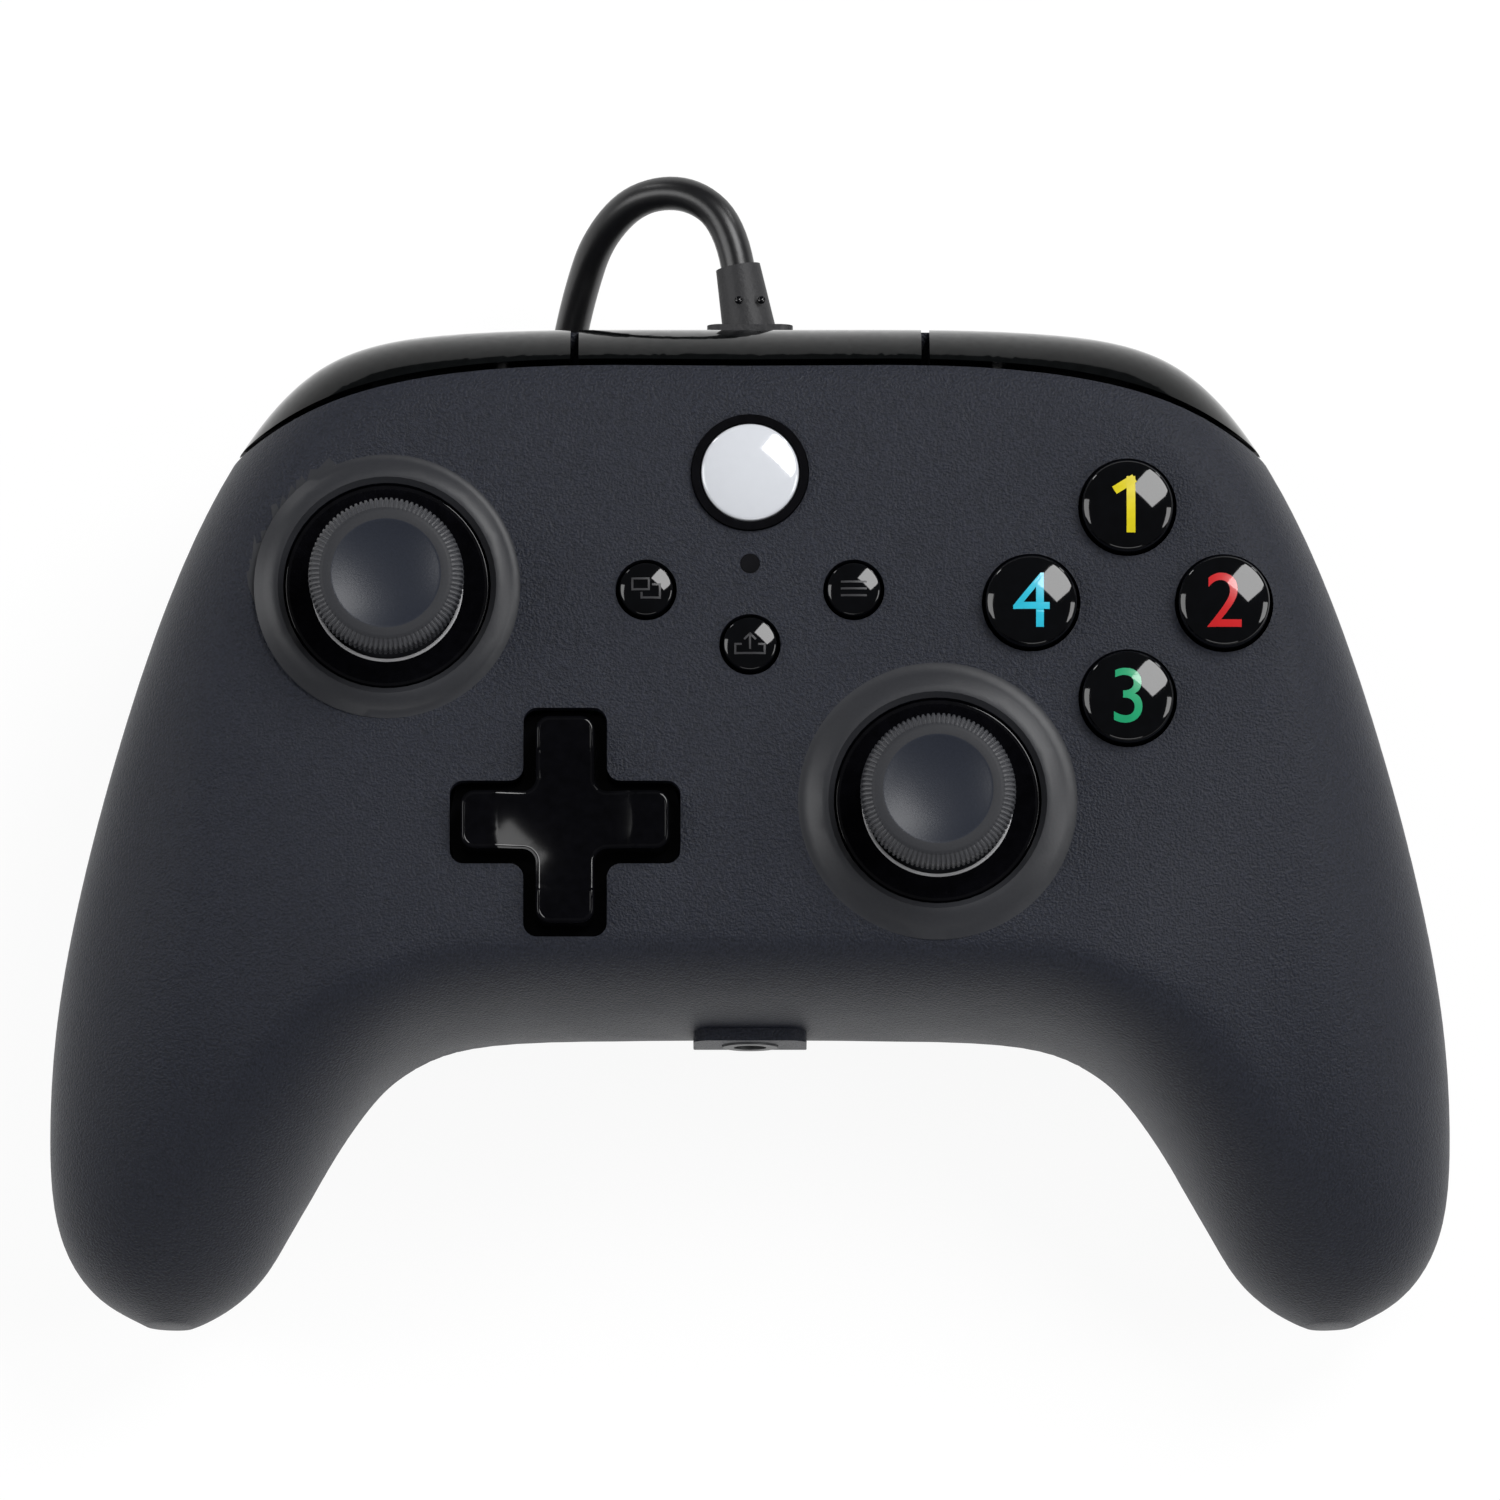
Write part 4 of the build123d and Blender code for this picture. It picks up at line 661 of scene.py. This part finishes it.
def numeral(text, height):
    """The faces of a plain numeral, centred, cut fine enough to follow a dome."""
    curve = bpy.data.curves.new("numeral", "FONT")
    curve.body = text
    curve.size = height / 0.72
    curve.resolution_u = 6
    holder = bpy.data.objects.new("numeral", curve)
    scene.collection.objects.link(holder)
    bpy.context.view_layer.update()
    mesh = bpy.data.meshes.new_from_object(holder.evaluated_get(bpy.context.evaluated_depsgraph_get()))
    bpy.data.objects.remove(holder)
    work = bmesh.new()
    work.from_mesh(mesh)
    bmesh.ops.subdivide_edges(work, edges=work.edges, cuts=5, use_grid_fill=True)
    bmesh.ops.triangulate(work, faces=work.faces)
    xs = [vertex.co.x for vertex in work.verts]
    ys = [vertex.co.y for vertex in work.verts]
    shift_x, shift_y = (max(xs) + min(xs)) / 2, (max(ys) + min(ys)) / 2
    points = [(vertex.co.x - shift_x, vertex.co.y - shift_y) for vertex in work.verts]
    faces = [tuple(vertex.index for vertex in face.verts) for face in work.faces]
    work.free()
    bpy.data.meshes.remove(mesh)
    return points, faces


def stroke(points, width, closed=False, steps=6):
    """A line of even width along the given points, as flat faces."""
    made = []
    faces = []
    ends = points[1:] + points[:1] if closed else points[1:]
    for (x1, y1), (x2, y2) in zip(points, ends):
        length = math.hypot(x2 - x1, y2 - y1)
        ux, uy = (x2 - x1) / length * width / 2, (y2 - y1) / length * width / 2
        for step in range(steps + 1):
            t = step / steps
            px = x1 - ux + (x2 - x1 + 2 * ux) * t
            py = y1 - uy + (y2 - y1 + 2 * uy) * t
            made += [(px - uy, py + ux), (px + uy, py - ux)]
            if step:
                last = len(made)
                faces.append((last - 4, last - 3, last - 1, last - 2))
    return made, faces


action_x, action_y, action_pitch = 41.1, 21.7, 10.5
action_buttons = {
    "north": (action_x, action_y + action_pitch, "1", "mark_yellow"),
    "east": (action_x + action_pitch, action_y, "2", "mark_red"),
    "south": (action_x, action_y - action_pitch, "3", "mark_green"),
    "west": (action_x - action_pitch, action_y, "4", "mark_light_blue"),
}
for name, (x, y, text, mark_finish) in action_buttons.items():
    button = f"{name}_button"
    dome = lathe(f"{button}_dome", button_profile(action_size), x, y, finish["button_gloss"], 96)
    stand_for(dome, button)
    if text == "1":
        outline, faces = stroke([(-1.05, 1.75), (0.35, 2.62), (0.35, -2.62)], 0.95)
    else:
        outline, faces = numeral(text, 6.2)
    mark = on_dome(f"{button}_mark", outline, faces, x, y, action_size, 0.03, finish[mark_finish])
    add_to(mark, button)

# The small buttons' symbols: each line's points, and whether it closes
symbols = {
    "start": [([(-1.3, dy), (1.3, dy)], False) for dy in (-0.75, 0.0, 0.75)],
    "back": [
        ([(-1.5, -0.1), (0.3, -0.1), (0.3, 1.1), (-1.5, 1.1)], True),
        ([(0.75, 0.45), (1.5, 0.45), (1.5, -1.0), (-0.5, -1.0), (-0.5, -0.5)], False)],
    "capture": [
        ([(-1.0, -0.1), (-1.6, -0.1), (-1.6, -1.1), (1.6, -1.1), (1.6, -0.1), (1.0, -0.1)], False),
        ([(0, -0.55), (0, 1.0)], False), ([(-0.55, 0.5), (0, 1.05), (0.55, 0.5)], False)],
}
small_places = {"back": (-11.3, 23.1), "start": (11.3, 23.1), "capture": (0.0, 17.1)}
for name, (x, y) in small_places.items():
    button = f"{name}_button"
    dome = lathe(f"{button}_dome", button_profile(small_size), x, y, finish["button_gloss"], 72)
    stand_for(dome, button)
    for number, (points, closed) in enumerate(symbols[name]):
        outline, faces = stroke(points, 0.22, closed)
        mark = on_dome(
            f"{button}_mark_{number}", outline, faces, x, y, small_size, 0.012, finish["engraving"])
        add_to(mark, button)

home_y = 36.0
home_lens = lathe("home_button_lens", button_profile(home_size, 16), 0, home_y, finish["lens_white"], 128)
stand_for(home_lens, "home_button")

# The rounded edge round the top of the direction pad, as a thin bead
pad_x, pad_y, pad_top = -20.1, -2.4, 53.9
half_span, half_arm, pad_corner = 11.3, 3.15, 1.5
pad_sphere, pad_dish = 26.0, 1.3
bead_radius, bead_sides, bead_step, bead_drop = 0.33, 10, 0.6, 0.3
corner_steps = 8
tip_side = half_arm - pad_corner
tip_reach = half_span - pad_corner
inner_corner = half_arm + pad_corner
# The three corners of one arm: middle, first and last angle in degrees, radius
arm_corners = [
    (tip_reach, -tip_side, -90, 0, pad_corner - bead_drop),
    (tip_reach, tip_side, 0, 90, pad_corner - bead_drop),
    (inner_corner, inner_corner, -90, -180, pad_corner + bead_drop),
]


def pad_height(away):
    """The height of the pad's dished top."""
    return min(pad_top, pad_top - pad_dish + pad_sphere - math.sqrt(pad_sphere ** 2 - away ** 2))


edge_line = []
for arm in range(4):
    spin = math.pi / 2 * arm
    for middle_x, middle_y, start, end, radius in arm_corners:
        for step in range(corner_steps + 1):
            turn = math.radians(start + (end - start) * step / corner_steps)
            u = middle_x + radius * math.cos(turn)
            v = middle_y + radius * math.sin(turn)
            edge_line.append((
                u * math.cos(spin) - v * math.sin(spin), u * math.sin(spin) + v * math.cos(spin)))
fine_line = []
for (x1, y1), (x2, y2) in zip(edge_line, edge_line[1:] + edge_line[:1]):
    parts = max(1, round(math.hypot(x2 - x1, y2 - y1) / bead_step))
    fine_line += [(x1 + (x2 - x1) * part / parts, y1 + (y2 - y1) * part / parts) for part in range(parts)]
points = []
faces = []
count = len(fine_line)
for number, (px, py) in enumerate(fine_line):
    ahead, behind = fine_line[(number + 1) % count], fine_line[number - 1]
    length = math.hypot(ahead[0] - behind[0], ahead[1] - behind[1])
    out = ((ahead[1] - behind[1]) / length, (behind[0] - ahead[0]) / length)
    height = pad_height(math.hypot(px, py)) - bead_drop
    for step in range(bead_sides):
        turn = 2 * math.pi * step / bead_sides
        reach = bead_radius * math.cos(turn)
        points.append((
            (pad_x + px + out[0] * reach) * MM, (pad_y + py + out[1] * reach) * MM,
            (height + bead_radius * math.sin(turn)) * MM))
        here, there = number * bead_sides, (number + 1) % count * bead_sides
        after = (step + 1) % bead_sides
        faces.append((here + step, there + step, there + after, here + after))
add_to(add_mesh("direction_pad_edge", points, faces, finish["gloss_black"]), "direction_pad")

# Two dark discs on the boot: painted shade standing in for two holes
boot_y = 57.6
hole_radius, hole_top, hole_bottom = 0.42, 35.42, 35.2
shade_disc_outline = [
    (near_axis, hole_top), (hole_radius, hole_top), (hole_radius, hole_bottom), (near_axis, hole_bottom)]
for number, x in enumerate((-1.25, 1.25)):
    hole = lathe(f"boot_hole_painted_shade_{number}", shade_disc_outline, x, boot_y, finish["gloss_black"], 24)
    add_to(hole, "housing")

# Floor: white paper, mostly of even brightness where the camera or a reflection sees it, with faint shadows
floor_data = bpy.data.meshes.new("floor")
floor_data.from_pydata([(-3, -3, 0), (3, -3, 0), (3, 3, 0), (-3, 3, 0)], [], [(0, 1, 2, 3)])
floor = add_object("floor", floor_data)
floor.location.z = -0.0002
paper = bpy.data.materials.new("paper")
paper.use_nodes = True
paper_tree = paper.node_tree
paper_tree.nodes.clear()
output = paper_tree.nodes.new("ShaderNodeOutputMaterial")
mix = paper_tree.nodes.new("ShaderNodeMixShader")
diffuse = paper_tree.nodes.new("ShaderNodeBsdfDiffuse")
diffuse.inputs["Color"].default_value = (0.82, 0.82, 0.82, 1)
white = paper_tree.nodes.new("ShaderNodeEmission")
white.inputs["Color"].default_value = (1, 1, 1, 1)
white.inputs["Strength"].default_value = 1.03
path = paper_tree.nodes.new("ShaderNodeLightPath")
seen = paper_tree.nodes.new("ShaderNodeMath")
seen.operation = "MAXIMUM"
paper_tree.links.new(path.outputs["Is Camera Ray"], seen.inputs[0])
paper_tree.links.new(path.outputs["Is Glossy Ray"], seen.inputs[1])
share = paper_tree.nodes.new("ShaderNodeMath")
share.operation = "MULTIPLY"
share.inputs[1].default_value = 0.9
paper_tree.links.new(seen.outputs["Value"], share.inputs[0])
paper_tree.links.new(share.outputs["Value"], mix.inputs["Fac"])
paper_tree.links.new(diffuse.outputs["BSDF"], mix.inputs[1])
paper_tree.links.new(white.outputs["Emission"], mix.inputs[2])
paper_tree.links.new(mix.outputs["Shader"], output.inputs["Surface"])
floor_data.materials.append(paper)

# Light
world = bpy.data.worlds.new("room")
scene.world = world
world.use_nodes = True
background = world.node_tree.nodes["Background"]
background.inputs["Color"].default_value = (1, 1, 1, 1)
background.inputs["Strength"].default_value = 0.07


def area_light(name, place, aim, size, size_y, power):
    data = bpy.data.lights.new(name, "AREA")
    data.shape = "RECTANGLE"
    data.size = size
    data.size_y = size_y
    data.energy = power
    light = bpy.data.objects.new(name, data)
    scene.collection.objects.link(light)
    light.location = place
    light.rotation_mode = "QUATERNION"
    light.rotation_quaternion = (Vector(aim) - Vector(place)).to_track_quat("-Z", "Y")


area_light("window_light", (0.40, 0.42, 0.80), (0.02, 0.01, 0.05), 0.42, 0.50, 6.5)
area_light("left_light", (-0.95, 0.10, 0.72), (0, 0, 0.03), 0.5, 0.9, 6.5)
area_light("right_light", (0.95, -0.05, 0.72), (0, 0, 0.03), 0.4, 0.7, 5.0)
area_light("near_light", (0.0, -0.95, 0.55), (0, 0, 0.03), 0.9, 0.3, 2.0)
area_light("left_corner_light", (-0.62, 0.75, 0.25), (-0.04, 0.04, 0.045), 0.12, 0.2, 0.8)
area_light("right_corner_light", (0.62, 0.75, 0.25), (0.04, 0.04, 0.045), 0.12, 0.2, 0.8)
